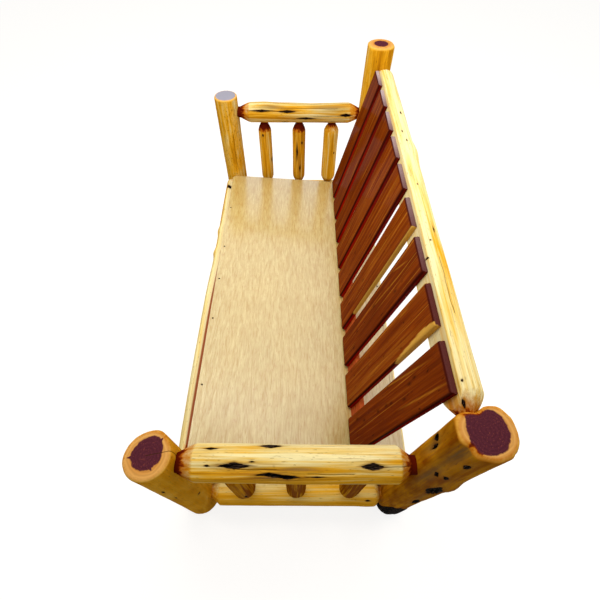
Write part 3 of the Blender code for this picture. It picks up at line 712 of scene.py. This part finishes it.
# The near spindles' dark tone is partly their wood and partly painted shade under the near arm, and the far
# spindles' pale tone is partly painted light
for node, x, y, radius, tone, heart, knots in (
    ("left_1", -ARM_X, -0.192, 0.0355, 0.50, 1.0, [(343, -15, 9, 5, 2), (190, 62, 16, 6, 3)]),
    ("left_2", -ARM_X, 0.0, 0.0360, 0.60, 1.0,
     [(300, 28, 8, 5, 2), (247, -18, 80, 6, 2), (145, 11, 40, 5, 2)]),
    ("left_3", -ARM_X, 0.180, 0.0410, 0.45, 0.60, [(243, 34, 6, 4, 2), (155, -94, 6, 4, 2)]),
    ("right_1", ARM_X, -0.180, 0.0400, 0.88, 0.6, [(120, 20, 20, 6, 2)]),
    ("right_2", ARM_X, 0.003, 0.0345, 0.94, 0.6, []), ("right_3", ARM_X, 0.190, 0.0345, 0.94, 0.6, []),
):
    add_log("arm_spindle_" + node, (x, y, SPINDLE_FOOT), **SPINDLE, radius=radius, tone=tone,
            heart=(0.6, heart), knots=knots)

# %% Long rails
DECK_SLOPE, SLAT_LEAN = math.radians(3.55), math.radians(14.19)
SLAT_FORWARD = Vector((0, -math.cos(SLAT_LEAN), math.sin(SLAT_LEAN)))
DECK_UP = Vector((0, math.sin(DECK_SLOPE), math.cos(DECK_SLOPE)))
RAIL_START = -0.872
LONG_RAIL = dict(turn=ALONG_SEAT, length=1.744, tenon=0.0218, roundness=1.5, flutes=0.0020)
SEAT_RAIL = dict(LONG_RAIL, tenon_length=0.036, taper=0.014, figure=0.6)
TOP_FLAT, FRONT_FLAT, BACK_FLAT = 0.030, 0.044, 0.035  # from a rail's axis to its sawn flat

top_axis, front_axis, back_axis = (
    Vector((RAIL_START, y, z)) for y, z in ((0.396, 0.7956), (-POST_Y, 0.1876), (POST_Y, 0.1495)))
add_log("back_top_rail", top_axis, **LONG_RAIL, radius=0.0495, tenon_length=0.040, taper=0.048, tone=0.16,
        heart=(0.5,), flat=(top_axis + SLAT_FORWARD * TOP_FLAT, SLAT_FORWARD), spacing=TOP_SPACING,
        unseen=70,
        knots=[(920, 171, 4, 3, 2), (1188, -179, 4, 3, 2), (1136, 155, 18, 3, 1), (1257, -157, 4, 3, 2),
               (1639, -165, 4, 3, 1), (1689, -155, 10, 6, 3), (460, 160, 10, 4, 2), (600, 178, 12, 3, 1),
               (660, 168, 8, 3, 1)],
        bulges=[(700, 125, 55, 30, 7)], checks=[(1350, 165, 100)])
add_log("seat_rail_front", front_axis, **SEAT_RAIL, radius=0.0595, tone=-0.08,
        amber=(-75, 1.3, 1.1, 0.7, 0.6, 0.6, 0.7), heart=(0.60, 0.78, 0.822, 0.862, 0.905),
        flat=(front_axis + DECK_UP * FRONT_FLAT, DECK_UP), unseen=-55,
        knots=[(113, -141, 16, 11, 2), (329, -143, 6, 4, 2)],
        bulges=[(150, -107, 250, 60, 3), (950, -107, 360, 50, 11), (1450, -107, 350, 50, 7),
                (470, -112, 30, 20, 6), (635, -108, 25, 30, 6.5)])
add_log("seat_rail_back", back_axis, **SEAT_RAIL, radius=0.0485, tone=0.1, amber=(60, 0.4),
        flat=(back_axis + DECK_UP * BACK_FLAT, DECK_UP), unseen=60)

# %% [markdown]
# ## Red cedar boards
#
# The back is nine sawn boards of red cedar heartwood, sanded, eased along the edges and varnished. The
# face is red brown with golden streaks and small dark knots, a strip of yellow sapwood is left on some
# edges, and the sawn upper ends are dark violet, which a painted highlight turns pale grey violet on the far
# boards. The grain could follow world coordinates, but then it would run on from board to board. Each board
# stores its own coordinates instead, in metres across, through and along it.

# %% Red cedar material
# The fibre is drawn at about twice its real width
BOARD_STREAK_MM, BOARD_FIBRE_MM, SPOT_MM, GOLD_MM = 14.0, 2.6, 11.0, 6.0
BOARD_MARKS = ("number", "sapwood", "end_face", "pale_end", "shade", "gold_streak", "fresh_cut", "pin_knot",
               "edge", "edge_glow")
BOARDS_APART = (0.37, 0.11, 2.3)  # from one board's grain to the next one's

red_cedar, t = new_finish("varnished_red_cedar_board")
board = add(t, "Attribute", out="Vector", attribute_name="board")
number, sapwood, end_face, pale_end, shade, streaked, fresh, knot, edge, edge_glow = [
    add(t, "Attribute", out="Fac", attribute_name=label) for label in BOARD_MARKS]
apart = add(t, "VECTOR_SCALE", BOARDS_APART, number)
place = add(t, "VECTOR_ADD", board, apart)
streak, fibre, spot, gold = grain(t, place, MM_PER_METRE, 2, 0.6, (
    (BOARD_STREAK_MM, 0.42, 4, 0.6), (BOARD_FIBRE_MM, 0.11, 3, 0.2), (SPOT_MM, 0.030, 1, 0.4),
    (GOLD_MM, 0.50, 2, 0.3)))
shaded = add(t, "ADD", streak, shade)
colour = add(t, "ValToRGB", shaded, ramp=(
    (0, "#491402"), (0.42, "#702a04"), (0.56, "#843806"), (1, "#b06a1a")))
shine = add(t, "MapRange", fibre, *MIDDLE, 0.72, 1.12)
colour = add(t, "Mix", 1, colour, shine, **RGBA, blend_type="MULTIPLY")
gold = add(t, "MapRange", gold, 0.62, 0.74, 0, 0.65)
spot = add(t, "MapRange", spot, 0.69, 0.76, 0, 0.6)
spot = add(t, "MAXIMUM", spot, knot)
# Painted shade on the round-over, and on the plain side painted bounce light from the seat, strongest at its
# foot
edge_shade_and_bounce = add(t, "Mix", edge_glow, "#3c0a03", "#a01402", **RGBA)
yellow = add(t, "Mix", fibre, "#e0b050", "#b47a20", **RGBA)
# Sawn ends are dark violet, lightened to pale grey violet on the far boards by a painted highlight
violet = add(t, "Mix", pale_end, "#562a26", "#b9a4a2", **RGBA)
violet = add(t, "Mix", 1, violet, shine, **RGBA, blend_type="MULTIPLY")
for share, paint in (
    (gold, "#c47a22"), (streaked, "#bf7a1e"), (fresh, "#b85226"), (spot, "#220b04"), (edge, edge_shade_and_bounce),
    (sapwood, yellow), (end_face, violet),
):
    colour = add(t, "Mix", share, colour, paint, **RGBA)
rough = add(t, "MapRange", streak, 0, 1, 0.28, 0.48)
bump = add(t, "Bump", Strength=0.35, Distance=0.0008, Height=fibre)
varnish = add(t, "BsdfPrincipled", **{
    "Base Color": colour, "Roughness": rough, "Normal": bump, "IOR": 1.5, "Specular IOR Level": 0,
    "Coat Weight": 0.06, "Coat Roughness": 0.12})
add(t, "OutputMaterial", varnish)
print("red cedar material:", len(t.nodes), "nodes")

# %% [markdown]
# ## The row of slats
#
# Nine equal boards at an even pitch are a job for one tree: a board is made once, set out along a line
# and turned to the lean of the back. Each copy keeps its number, so no two have the same grain. A little
# noise, read after the copies are made real, gives each board its own slight warp.

# %% Slat tree
SLAT_SIZE = Vector((0.142, 0.019, 0.627))
SLAT_POINTS = (41, 9, 101)  # across, through and along a board
CROWDING, WARP_SCALE, WARP_APART = 1.4, 2.2, 3.0

slat_tree, given = new_tree("slat_row", {
    "Count": 9, "Pitch": 0.18, "Size": SLAT_SIZE, "First": Vector(), "Turn": Vector(),
    "Front Rounding": 0.008, "Back Rounding": 0.0015, "Jitter": 0.0025, "Warp": 0.0006, "Seed": 3,
    "Finish": "Material",
})
g = slat_tree
block = add(g, "MeshCube", given["Size"], *SLAT_POINTS)
half = add(g, "VECTOR_SCALE", given["Size"], 0.5)
place = add(g, "InputPosition")
# Rows of points crowd towards the ends, so that the round-over there has enough of them
share = add(g, "VECTOR_DIVIDE", place, half)
share = add(g, "SeparateXYZ", share, out="Z")
short = add(g, "ABSOLUTE", share)
short = add(g, "SUBTRACT", 1, short, use_clamp=True)
short = add(g, "POWER", short, CROWDING)
side = add(g, "SIGN", share)
row = add(g, "SUBTRACT", 1, short)
row = add(g, "MULTIPLY", row, side)
row = add(g, "SUBTRACT", row, share)
row = add(g, "CombineXYZ", 0, 0, row)
row = add(g, "VECTOR_MULTIPLY", row, half)
block = add(g, "SetPosition", block, Offset=row)
# Points in the square corners of the board are drawn in to a quarter circle, wide in front and narrow behind
depth = add(g, "SeparateXYZ", place, out="Y")
behind = add(g, "GREATER_THAN", depth, 0)
radius = add(g, "MapRange", behind, 0, 1, given["Front Rounding"], given["Back Rounding"])
radius = add(g, "CombineXYZ", radius, radius, radius)
reach = add(g, "VECTOR_SUBTRACT", half, radius)
back = add(g, "VECTOR_SCALE", reach, -1)
middle = add(g, "VECTOR_MINIMUM", place, reach)
middle = add(g, "VECTOR_MAXIMUM", middle, back)
beyond = add(g, "VECTOR_SUBTRACT", place, middle)
sizes = add(g, "VECTOR_ABSOLUTE", beyond)
sizes = add(g, "SeparateXYZ", sizes).node.outputs
largest = add(g, "MAXIMUM", sizes["X"], sizes["Y"])
largest = add(g, "MAXIMUM", largest, sizes["Z"])
beyond = add(g, "VECTOR_NORMALIZE", beyond)
beyond = add(g, "VECTOR_SCALE", beyond, largest)
rounded = add(g, "VECTOR_ADD", middle, beyond)
block = add(g, "SetPosition", block, Position=rounded)
block = add(g, "StoreNamedAttribute", block, Name="board", Value=place, data_type="FLOAT_VECTOR")
step = add(g, "CombineXYZ", given["Pitch"])
row = add(g, "MeshLine", given["Count"], **{"Start Location": given["First"], "Offset": step})
row = add(g, "InstanceOnPoints", row, Instance=block, Rotation=given["Turn"])
# Set by hand, the boards are a little out of their even pitch
astray = add(g, "RandomValue", Min=(-1, 0, 0), Max=(1, 0, 0), Seed=given["Seed"], data_type="FLOAT_VECTOR")
astray = add(g, "VECTOR_SCALE", astray, given["Jitter"])
row = add(g, "TranslateInstances", row, Translation=astray, **{"Local Space": False})
order = add(g, "InputIndex")
row = add(g, "StoreNamedAttribute", row, Name="number", Value=order, data_type="FLOAT", domain="INSTANCE")
row = add(g, "RealizeInstances", row)
number = add(g, "InputNamedAttribute", Name="number", data_type="FLOAT")
local = add(g, "InputNamedAttribute", Name="board", data_type="FLOAT_VECTOR")
apart = add(g, "MULTIPLY", number, WARP_APART)
apart = add(g, "CombineXYZ", 0, 0, apart)
local = add(g, "VECTOR_ADD", local, apart)
warp = add(g, "TexNoise", Vector=local, Scale=WARP_SCALE, Detail=1)
warp = add(g, "MapRange", warp, *MIDDLE, -1, 1, clamp=False)
warp = add(g, "MULTIPLY", warp, given["Warp"])
warp = add(g, "CombineXYZ", 0, warp)
row = add(g, "SetPosition", row, Offset=warp)
row = add(g, "SetMaterial", row, Material=given["Finish"])
add(g, "NodeGroupOutput", row)
print("slat tree:", len(g.nodes), "nodes")

# %% Slats
SLAT_COUNT, SLAT_PITCH, SLAT_SHIFT = 9, 0.183, -0.011
SLAT_UP = Vector((0, math.sin(SLAT_LEAN), math.cos(SLAT_LEAN)))
SLAT_FOOT = Vector((0, 0.20113, 0.22595))  # on the front face
FRONT_ROUNDING, BACK_ROUNDING, SLAT_JITTER, SLAT_WARP, SLAT_SEED = 0.0065, 0.0015, 0.004, 0.0006, 550
CREASE = math.radians(35)

first = SLAT_FOOT + SLAT_UP * (SLAT_SIZE.z / 2) - SLAT_FORWARD * (SLAT_SIZE.y / 2)
first.x = SLAT_SHIFT - (SLAT_COUNT - 1) / 2 * SLAT_PITCH
slats = grown("slat_row_boards", slat_tree, {
    "Count": SLAT_COUNT, "Pitch": SLAT_PITCH, "Size": SLAT_SIZE, "First": first, "Turn": (-SLAT_LEAN, 0, 0),
    "Front Rounding": FRONT_ROUNDING, "Back Rounding": BACK_ROUNDING, "Jitter": SLAT_JITTER,
    "Warp": SLAT_WARP, "Seed": SLAT_SEED, "Finish": red_cedar,
})
mesh = slats.data
mesh.shade_smooth()
mesh.set_sharp_from_angle(angle=CREASE)
stand_for(slats, "cedar_board", *[f"back_slat_{i}" for i in range(1, SLAT_COUNT + 1)])
print("slat row:", len(mesh.polygons), "faces")

# %% Sapwood, edges and ends of the slats
SAP_SHARPNESS = 600  # for each metre across the edge of the sapwood
END_DEPTH, END_FADE = 0.0022, 0.0014
EDGE_WIDTH, END_EDGE_WIDTH, EDGE_FADE = 0.0065, 0.0085, 0.004
SIDE_DEPTH, SIDE_FADE, SIDE_SKIN = 0.0035, 0.003, 0.001
BOUNCE_BY_HEIGHT = ((0, 0.7, 1), (1, 0.55, 0.15))  # heights on a board, and how much painted bounce light reddens its side there
LAST_PALE, PALE_SPAN, PALE_MIDDLE, PALE_TILT = 8, 7.5, 0.75, 0.45  # the far boards' ends get the most painted highlight, most at their far edges
BOARD_SHADES = (-0.09, -0.05, -0.08, 0.00, 0.02, 0.04, -0.07, 0.09, -0.05)  # the far board comes first

across, through, along = read_vectors(mesh, "board").T
numbers = np.empty(len(mesh.vertices), np.float32)
mesh.attributes["number"].data.foreach_get("value", numbers)
numbers = np.round(numbers).astype(int) + 1  # the far slat is 1 and the near one 9
half = SLAT_SIZE / 2
side = across / half.x  # -1 at the far edge, 1 at the near one
up = along + half.z
rise = along / SLAT_SIZE.z + 0.5
near_edge, far_edge = np.ones((2, len(numbers)))  # how far from a board's middle its sapwood starts
for slat, heights, starts in (
    (6, (0.07, 0.14), (0.085, 0.0675)),
    (8, (0.37, 0.40, 0.46, 0.57, 0.627), (0.08, 0.070, 0.060, 0.050, 0.058)),
):
    near_edge = np.where(numbers == slat, np.interp(up, heights, starts), near_edge)
for slat, lowest, start in ((5, 0.30, 0.068), (8, 0.43, 0.066)):
    far_edge = np.where((numbers == slat) & (up > lowest), start, far_edge)
sap = np.maximum(across - near_edge, -across - far_edge) * SAP_SHARPNESS
# The round-over along the front is painted darker as painted shade, and the plain part of a side is painted
# bright red near the seat as painted bounce light from it, and darker higher up
past_end = np.abs(along) - half.z
rounding = np.maximum(across - half.x + EDGE_WIDTH, (past_end + END_EDGE_WIDTH) * (through < 0)) / EDGE_FADE
pale_board = np.clip((LAST_PALE - numbers) / PALE_SPAN, 0, 1)
plain_side = np.clip((through + SIDE_DEPTH) / SIDE_FADE, 0, 1) * (across > half.x - SIDE_SKIN)
for label, value in (
    ("sapwood", np.clip(sap, 0, 1)), ("end_face", np.clip((past_end + END_DEPTH) / END_FADE, 0, 1)),
    ("edge", np.clip(rounding, 0, 1)),
    ("edge_glow", plain_side * np.interp(rise, *BOUNCE_BY_HEIGHT)),
    ("pale_end", pale_board * np.clip(PALE_MIDDLE - PALE_TILT * side, 0, 1)),
    ("shade", np.array(BOARD_SHADES)[numbers - 1]), ("fresh_cut", 0),
):
    write_attribute(mesh, label, value)
print("sapwood on", round(100 * np.mean(sap > 0), 1), "% of the points")

# %% Knots and streaks of the slats
# Pin knots are (slat, across, up), and golden streaks run between two places on a slat, all in millimetres
PIN_KNOTS = ((7, -18, 321), (7, -8, 159), (7, 43, 114), (7, 28, 474), (9, -28, 494), (9, -20, 465),
             (9, 10, 427), (9, -6, 351), (9, -10, 318), (9, -12, 261), (9, -41, 90), (9, -18, 149),
             (6, -7, 261), (6, 2, 104), (5, 31, 365), (5, -16, 215))
GOLD_STREAKS = ((7, -19, 333, -7, 518), (7, -44, 495, -24, 556), (3, 22, 366, 28, 443),
                (6, -22, 324, -16, 503), (9, 30, 426, 41, 595), (9, -65, 326, -44, 531),
                (8, -51, 477, -51, 520), (2, 63, 257, 45, 352))
KNOT_HALF_WIDTH, KNOT_HALF_LENGTH, STREAK_HALF_WIDTH = 4.2, 9.0, 2.2
KNOT_DARKNESS, STREAK_STRENGTH = 0.8, 0.6
STREAK_PAST, STREAK_FADE, FRONT_SHARE = 0.3, 0.5, 0.2  # of a streak's length, and of a board's thickness

across_mm, up_mm = across * MM_PER_METRE, up * MM_PER_METRE
on_front = through / SLAT_SIZE.y + 0.5 < FRONT_SHARE
dark, gold = np.zeros((2, len(numbers)))
for slat, x, z in PIN_KNOTS:
    spot = np.exp(-(((across_mm - x) / KNOT_HALF_WIDTH) ** 2) - ((up_mm - z) / KNOT_HALF_LENGTH) ** 2)
    dark = np.maximum(dark, KNOT_DARKNESS * spot * on_front * (numbers == slat))
for slat, x, z, end_x, end_z in GOLD_STREAKS:
    share = np.clip((up_mm - z) / (end_z - z), -STREAK_PAST, 1 + STREAK_PAST)
    fade = np.clip(np.minimum(share + STREAK_PAST, 1 + STREAK_PAST - share) / STREAK_FADE, 0, 1)
    line = np.exp(-(((across_mm - x - (end_x - x) * share) / STREAK_HALF_WIDTH) ** 2))
    gold = np.maximum(gold, STREAK_STRENGTH * line * fade * on_front * (numbers == slat))
write_attribute(mesh, "pin_knot", dark)
write_attribute(mesh, "gold_streak", gold)
print(len(PIN_KNOTS), "pin knots and", len(GOLD_STREAKS), "golden streaks")

# %% [markdown]
# ## Plywood seat
#
# The seat is one sheet of furniture plywood with a pale maple face, a satin varnish and seven plies that
# show along its edges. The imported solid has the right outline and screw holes, so it could simply take a
# new material. A real sheet has its sharp edges sanded off, though, and light catches there, so a copy of
# the solid is cleaned to whole faces and its outer edges are rounded.

# %% Plywood material
DECK_MM, PLIES = 19.0, 7
TOP_VENEER, BOTTOM_VENEER = (-0.0030, -0.0022), (0.0004, 0.0012)  # where the plies on the edge begin and end
# The fibre is drawn as coarse as the picture shows it
VENEER_FIBRE_MM, FIGURE_MM, SHADE_MM, PORE_MM = 2.6, 11.0, 160.0, 3.2
DECK_FRONT = Vector((0, -0.3964, 0.252))

plywood, t = new_finish("satin_varnished_maple_plywood")
spot = add(t, "TexCoord", out="Object")
spot = add(t, "VECTOR_SUBTRACT", spot, DECK_FRONT)
spot = add(t, "Mapping", Vector=spot, Rotation=(DECK_SLOPE, 0, 0))
fibre, figure, cloud, pore = grain(t, spot, MM_PER_METRE, 0, 0.6, (
    (VENEER_FIBRE_MM, 0.050, 3, 0.2), (FIGURE_MM, 0.085, 5, 1.0), (SHADE_MM, 0.35, 2, 0.3),
    (PORE_MM, 0.022, 1, 0)))
veneer = add(t, "MULTIPLY", figure, 0.55)
veneer = add(t, "MULTIPLY_ADD", fibre, 0.45, veneer)
veneer = add(t, "ValToRGB", veneer, ramp=(
    (0, "#93651f"), (0.40, "#b9964a"), (0.60, "#d3bd7b"), (1, "#e4d6a6")))
cloud = add(t, "MapRange", cloud, *MIDDLE, 0.95, 1.03)
veneer = add(t, "Mix", 1, veneer, cloud, **RGBA, blend_type="MULTIPLY")
pore = add(t, "MapRange", pore, 0.60, 0.70, 0, 0.75)
veneer = add(t, "Mix", pore, veneer, "#b98a4a", **RGBA)
# The plies show on the edge, between the top veneer and the bottom one
deep = add(t, "SeparateXYZ", spot, out="Z")
ply = add(t, "MULTIPLY", deep, math.pi * MM_PER_METRE / (DECK_MM / PLIES))
ply = add(t, "SINE", ply)
ply = add(t, "MapRange", ply, -0.3, 0.3)
edge = add(t, "Mix", ply, "#a8763c", "#dcb67c", **RGBA)
below = add(t, "MapRange", deep, *TOP_VENEER, 1, 0)
bottom = -DECK_MM / MM_PER_METRE
under = add(t, "MapRange", deep, *[bottom + v for v in BOTTOM_VENEER])
in_edge = add(t, "MULTIPLY", below, under)
colour = add(t, "Mix", in_edge, veneer, edge, **RGBA)
rough = add(t, "MapRange", figure, 0, 1, 0.30, 0.46)
bump = add(t, "Bump", Strength=0.2, Distance=0.0004, Height=fibre)
varnish = add(t, "BsdfPrincipled", **{
    "Base Color": colour, "Roughness": rough, "Normal": bump, "IOR": 1.5, "Coat Weight": 1,
    "Coat Roughness": 0.24, "Coat IOR": 2.15})
add(t, "OutputMaterial", varnish)
print("plywood material:", len(t.nodes), "nodes")

# %% Seat sheet
SEAT_ROUNDING = 0.0014
FLAT_ANGLE = math.radians(0.5)  # triangles that differ less are one face
NEARLY_UPRIGHT, NEARLY_FLAT = 0.02, 0.98  # the part of a face's normal that points out of the deck
HOLE_FACE = 5e-5  # square metres, more than a face in a screw hole has


def whole_faces(node, name):
    """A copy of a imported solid, with its triangles joined to whole flat faces."""
    copy = bpy.data.objects.new(name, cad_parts[node].data.copy())
    scene.collection.objects.link(copy)
    work = bmesh.new()
    work.from_mesh(copy.data)
    bmesh.ops.remove_doubles(work, verts=work.verts, dist=MERGE)
    bmesh.ops.dissolve_limit(work, angle_limit=FLAT_ANGLE, verts=work.verts, edges=work.edges)
    return copy, work


def finish_board(piece, work, edges, width, material, node, slot_name):
    """Rounds the edges of a board and gives it its material."""
    bmesh.ops.bevel(work, geom=edges, offset=width, segments=2, profile=0.5, affect="EDGES",
                    clamp_overlap=True)
    work.to_mesh(piece.data)
    work.free()
    piece.data.materials.clear()
    piece.data.materials.append(material)
    piece.data.shade_smooth()
    piece.data.set_sharp_from_angle(angle=CREASE)
    stand_for(piece, slot_name, node)


seat, work = whole_faces("seat_deck", "plywood_seat")
rims = []
for e in work.edges:
    if len(e.link_faces) == 2:
        tilts = sorted(abs(f.normal.dot(DECK_UP)) for f in e.link_faces)
        outer = min(f.calc_area() for f in e.link_faces) > HOLE_FACE
        if tilts[0] < NEARLY_UPRIGHT and tilts[1] > NEARLY_FLAT and outer:
            rims.append(e)
print("seat edges to round:", len(rims))
finish_board(seat, work, rims, SEAT_ROUNDING, plywood, "seat_deck", "plywood")

# %% [markdown]
# ## Cleat
#
# Behind the slats' feet a board stands on the seat and holds them. It is the same red cedar, with its
# grain along the sofa. A copy of the solid gets the board coordinates that the material reads, with its
# length along the seat.

# %% Cleat board
CLEAT_ROUNDING, LONG_EDGE = 0.0016, 1.0
CLEAT_MARKS = {"number": 21, "shade": 0.1, "fresh_cut": 0.75}

cleat, work = whole_faces("slat_cleat", "slat_cleat_board")
long_edges = [e for e in work.edges if e.calc_length() > LONG_EDGE]
finish_board(cleat, work, long_edges, CLEAT_ROUNDING, red_cedar, "slat_cleat", "cedar_board")
mesh = cleat.data
board = mesh.attributes.new("board", "FLOAT_VECTOR", "POINT")
for point, vertex in zip(board.data, mesh.vertices):
    point.vector = vertex.co.yzx
for label in BOARD_MARKS:
    write_attribute(mesh, label, CLEAT_MARKS.get(label, 0))
print("cleat:", len(mesh.polygons), "faces")

# %% [markdown]
# ## Screws
#
# Bronze coated deck screws hold the seat to its rails and the slats to the cleat. Their heads have a
# cross-shaped recess and sit just under the surface. A screw is turned once as a small mesh, and a tree
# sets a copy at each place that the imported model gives, turned by a seeded angle as a driver leaves it.

# %% Screw material
GRIT_MM = 1.2
# The coating on the steel is brown and half dull, with a fine grit
bronze, t = new_finish("bronze_coated_steel_screw")
spot = add(t, "TexCoord", out="Object")
grit = add(t, "TexNoise", Vector=spot, Scale=MM_PER_METRE / GRIT_MM, Detail=2)
colour = add(t, "Mix", grit, "#4a3620", "#241a12", **RGBA)
rough = add(t, "MapRange", grit, 0, 1, 0.35, 0.6)
coat = add(t, "BsdfPrincipled", **{"Base Color": colour, "Roughness": rough, "Metallic": 0.8})
add(t, "OutputMaterial", coat)
print("bronze:", len(t.nodes), "nodes")

# %% Screw shape
HEAD_RADIUS, SHANK_RADIUS, HEAD_DEPTH, RECESS = 0.0042, 0.0021, 0.0036, 0.0016
PITCH, THREADED, ROOT = 0.0022, 0.92, 0.80  # step of the thread, its share of the shank, its root's radius
CROSS_CORE, CROSS_WING, CROSS_FLOOR = 0.16, 0.42, 0.55  # of the head's radius, and of the recess's mouth
RIM, RIM_DROP, MOUTH_DROP = 0.97, 0.0003, 0.0001  # the flat top of the head, and what lies below it
SIDES = 24


def screw_shape(name, length):
    """A countersunk screw that points down -Z from its head, with a cross recess and a threaded shank."""
    around = [math.tau * i / SIDES for i in range(SIDES)]
    recess = [HEAD_RADIUS * (CROSS_CORE + CROSS_WING * abs(math.cos(2 * a)) ** 3) for a in around]
    rings = [([r * CROSS_FLOOR for r in recess], -RECESS), (recess, -MOUTH_DROP),
             ([HEAD_RADIUS * RIM] * SIDES, 0), ([HEAD_RADIUS] * SIDES, -RIM_DROP),
             ([SHANK_RADIUS] * SIDES, -HEAD_DEPTH)]
    turns = int(length / PITCH)
    for k in range(1, turns):
        radius = SHANK_RADIUS * (ROOT if k % 2 else 1)
        rings.append(([radius] * SIDES, -HEAD_DEPTH - (length - HEAD_DEPTH) * THREADED * k / turns))
    work = bmesh.new()
    loops = [[work.verts.new((r * math.cos(a), r * math.sin(a), z)) for a, r in zip(around, radii)]
             for radii, z in rings]
    tip, pit = work.verts.new((0, 0, -length)), work.verts.new((0, 0, -RECESS))
    steps = [(i, (i + 1) % SIDES) for i in range(SIDES)]
    for a, b in zip(loops, loops[1:]):
        for i, j in steps:
            work.faces.new((a[i], a[j], b[j], b[i]))
    for i, j in steps:
        work.faces.new((loops[-1][i], loops[-1][j], tip))
        work.faces.new((loops[0][j], loops[0][i], pit))
    bmesh.ops.recalc_face_normals(work, faces=work.faces)
    mesh = bpy.data.meshes.new(name)
    work.to_mesh(mesh)
    work.free()
    return bpy.data.objects.new(name, mesh)


print("a screw's head is", 2 * HEAD_RADIUS * MM_PER_METRE, "mm across")

# %% Screw tree
screw_tree, given = new_tree("driven_screws", {
    "Places": "Geometry", "Screw": "Object", "Turn": Vector(), "Seed": 4, "Finish": "Material"})
g = screw_tree
shape = add(g, "GeometryNodeObjectInfo", given["Screw"], out="Geometry")
spin = add(g, "RandomValue", Max=(0, 0, math.pi), Seed=given["Seed"], data_type="FLOAT_VECTOR")
row = add(g, "InstanceOnPoints", given["Places"], Instance=shape, Rotation=given["Turn"])
row = add(g, "RotateInstances", row, Rotation=spin, **{"Local Space": True})
row = add(g, "RealizeInstances", row)
row = add(g, "SetMaterial", row, Material=given["Finish"])
add(g, "NodeGroupOutput", row)
print("screw tree:", len(g.nodes), "nodes")

# %% Screws in place
HEAD_LIFT, TIP_ROOM, SCREW_SEED, SCREW_CREASE = 0.0001, 0.001, 4, math.radians(30)

for name, length, outward in (("deck_screw", 0.045, DECK_UP), ("cleat_screw", 0.030, -SLAT_FORWARD)):
    group = [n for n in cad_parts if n.startswith(name)]
    heads = []
    for node in sorted(group):
        points = [v.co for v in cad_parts[node].data.vertices]
        top = max(points, key=lambda p: p.dot(outward))
        middle = (Vector(map(min, *points)) + Vector(map(max, *points))) / 2
        heads.append(middle + outward * ((top - middle).dot(outward) + HEAD_LIFT))
    shape = screw_shape(name + "_shape", length - TIP_ROOM)
    turn = tuple(outward.to_track_quat("Z", "Y").to_euler())
    screws = grown(name + "_set", screw_tree, {
        "Screw": shape, "Turn": turn, "Seed": SCREW_SEED, "Finish": bronze}, heads)
    bpy.data.objects.remove(shape)
    screws.data.set_sharp_from_angle(angle=SCREW_CREASE)
    stand_for(screws, "deck_screw", *group)
    print(len(heads), "of", name + ",", len(screws.data.polygons), "faces")
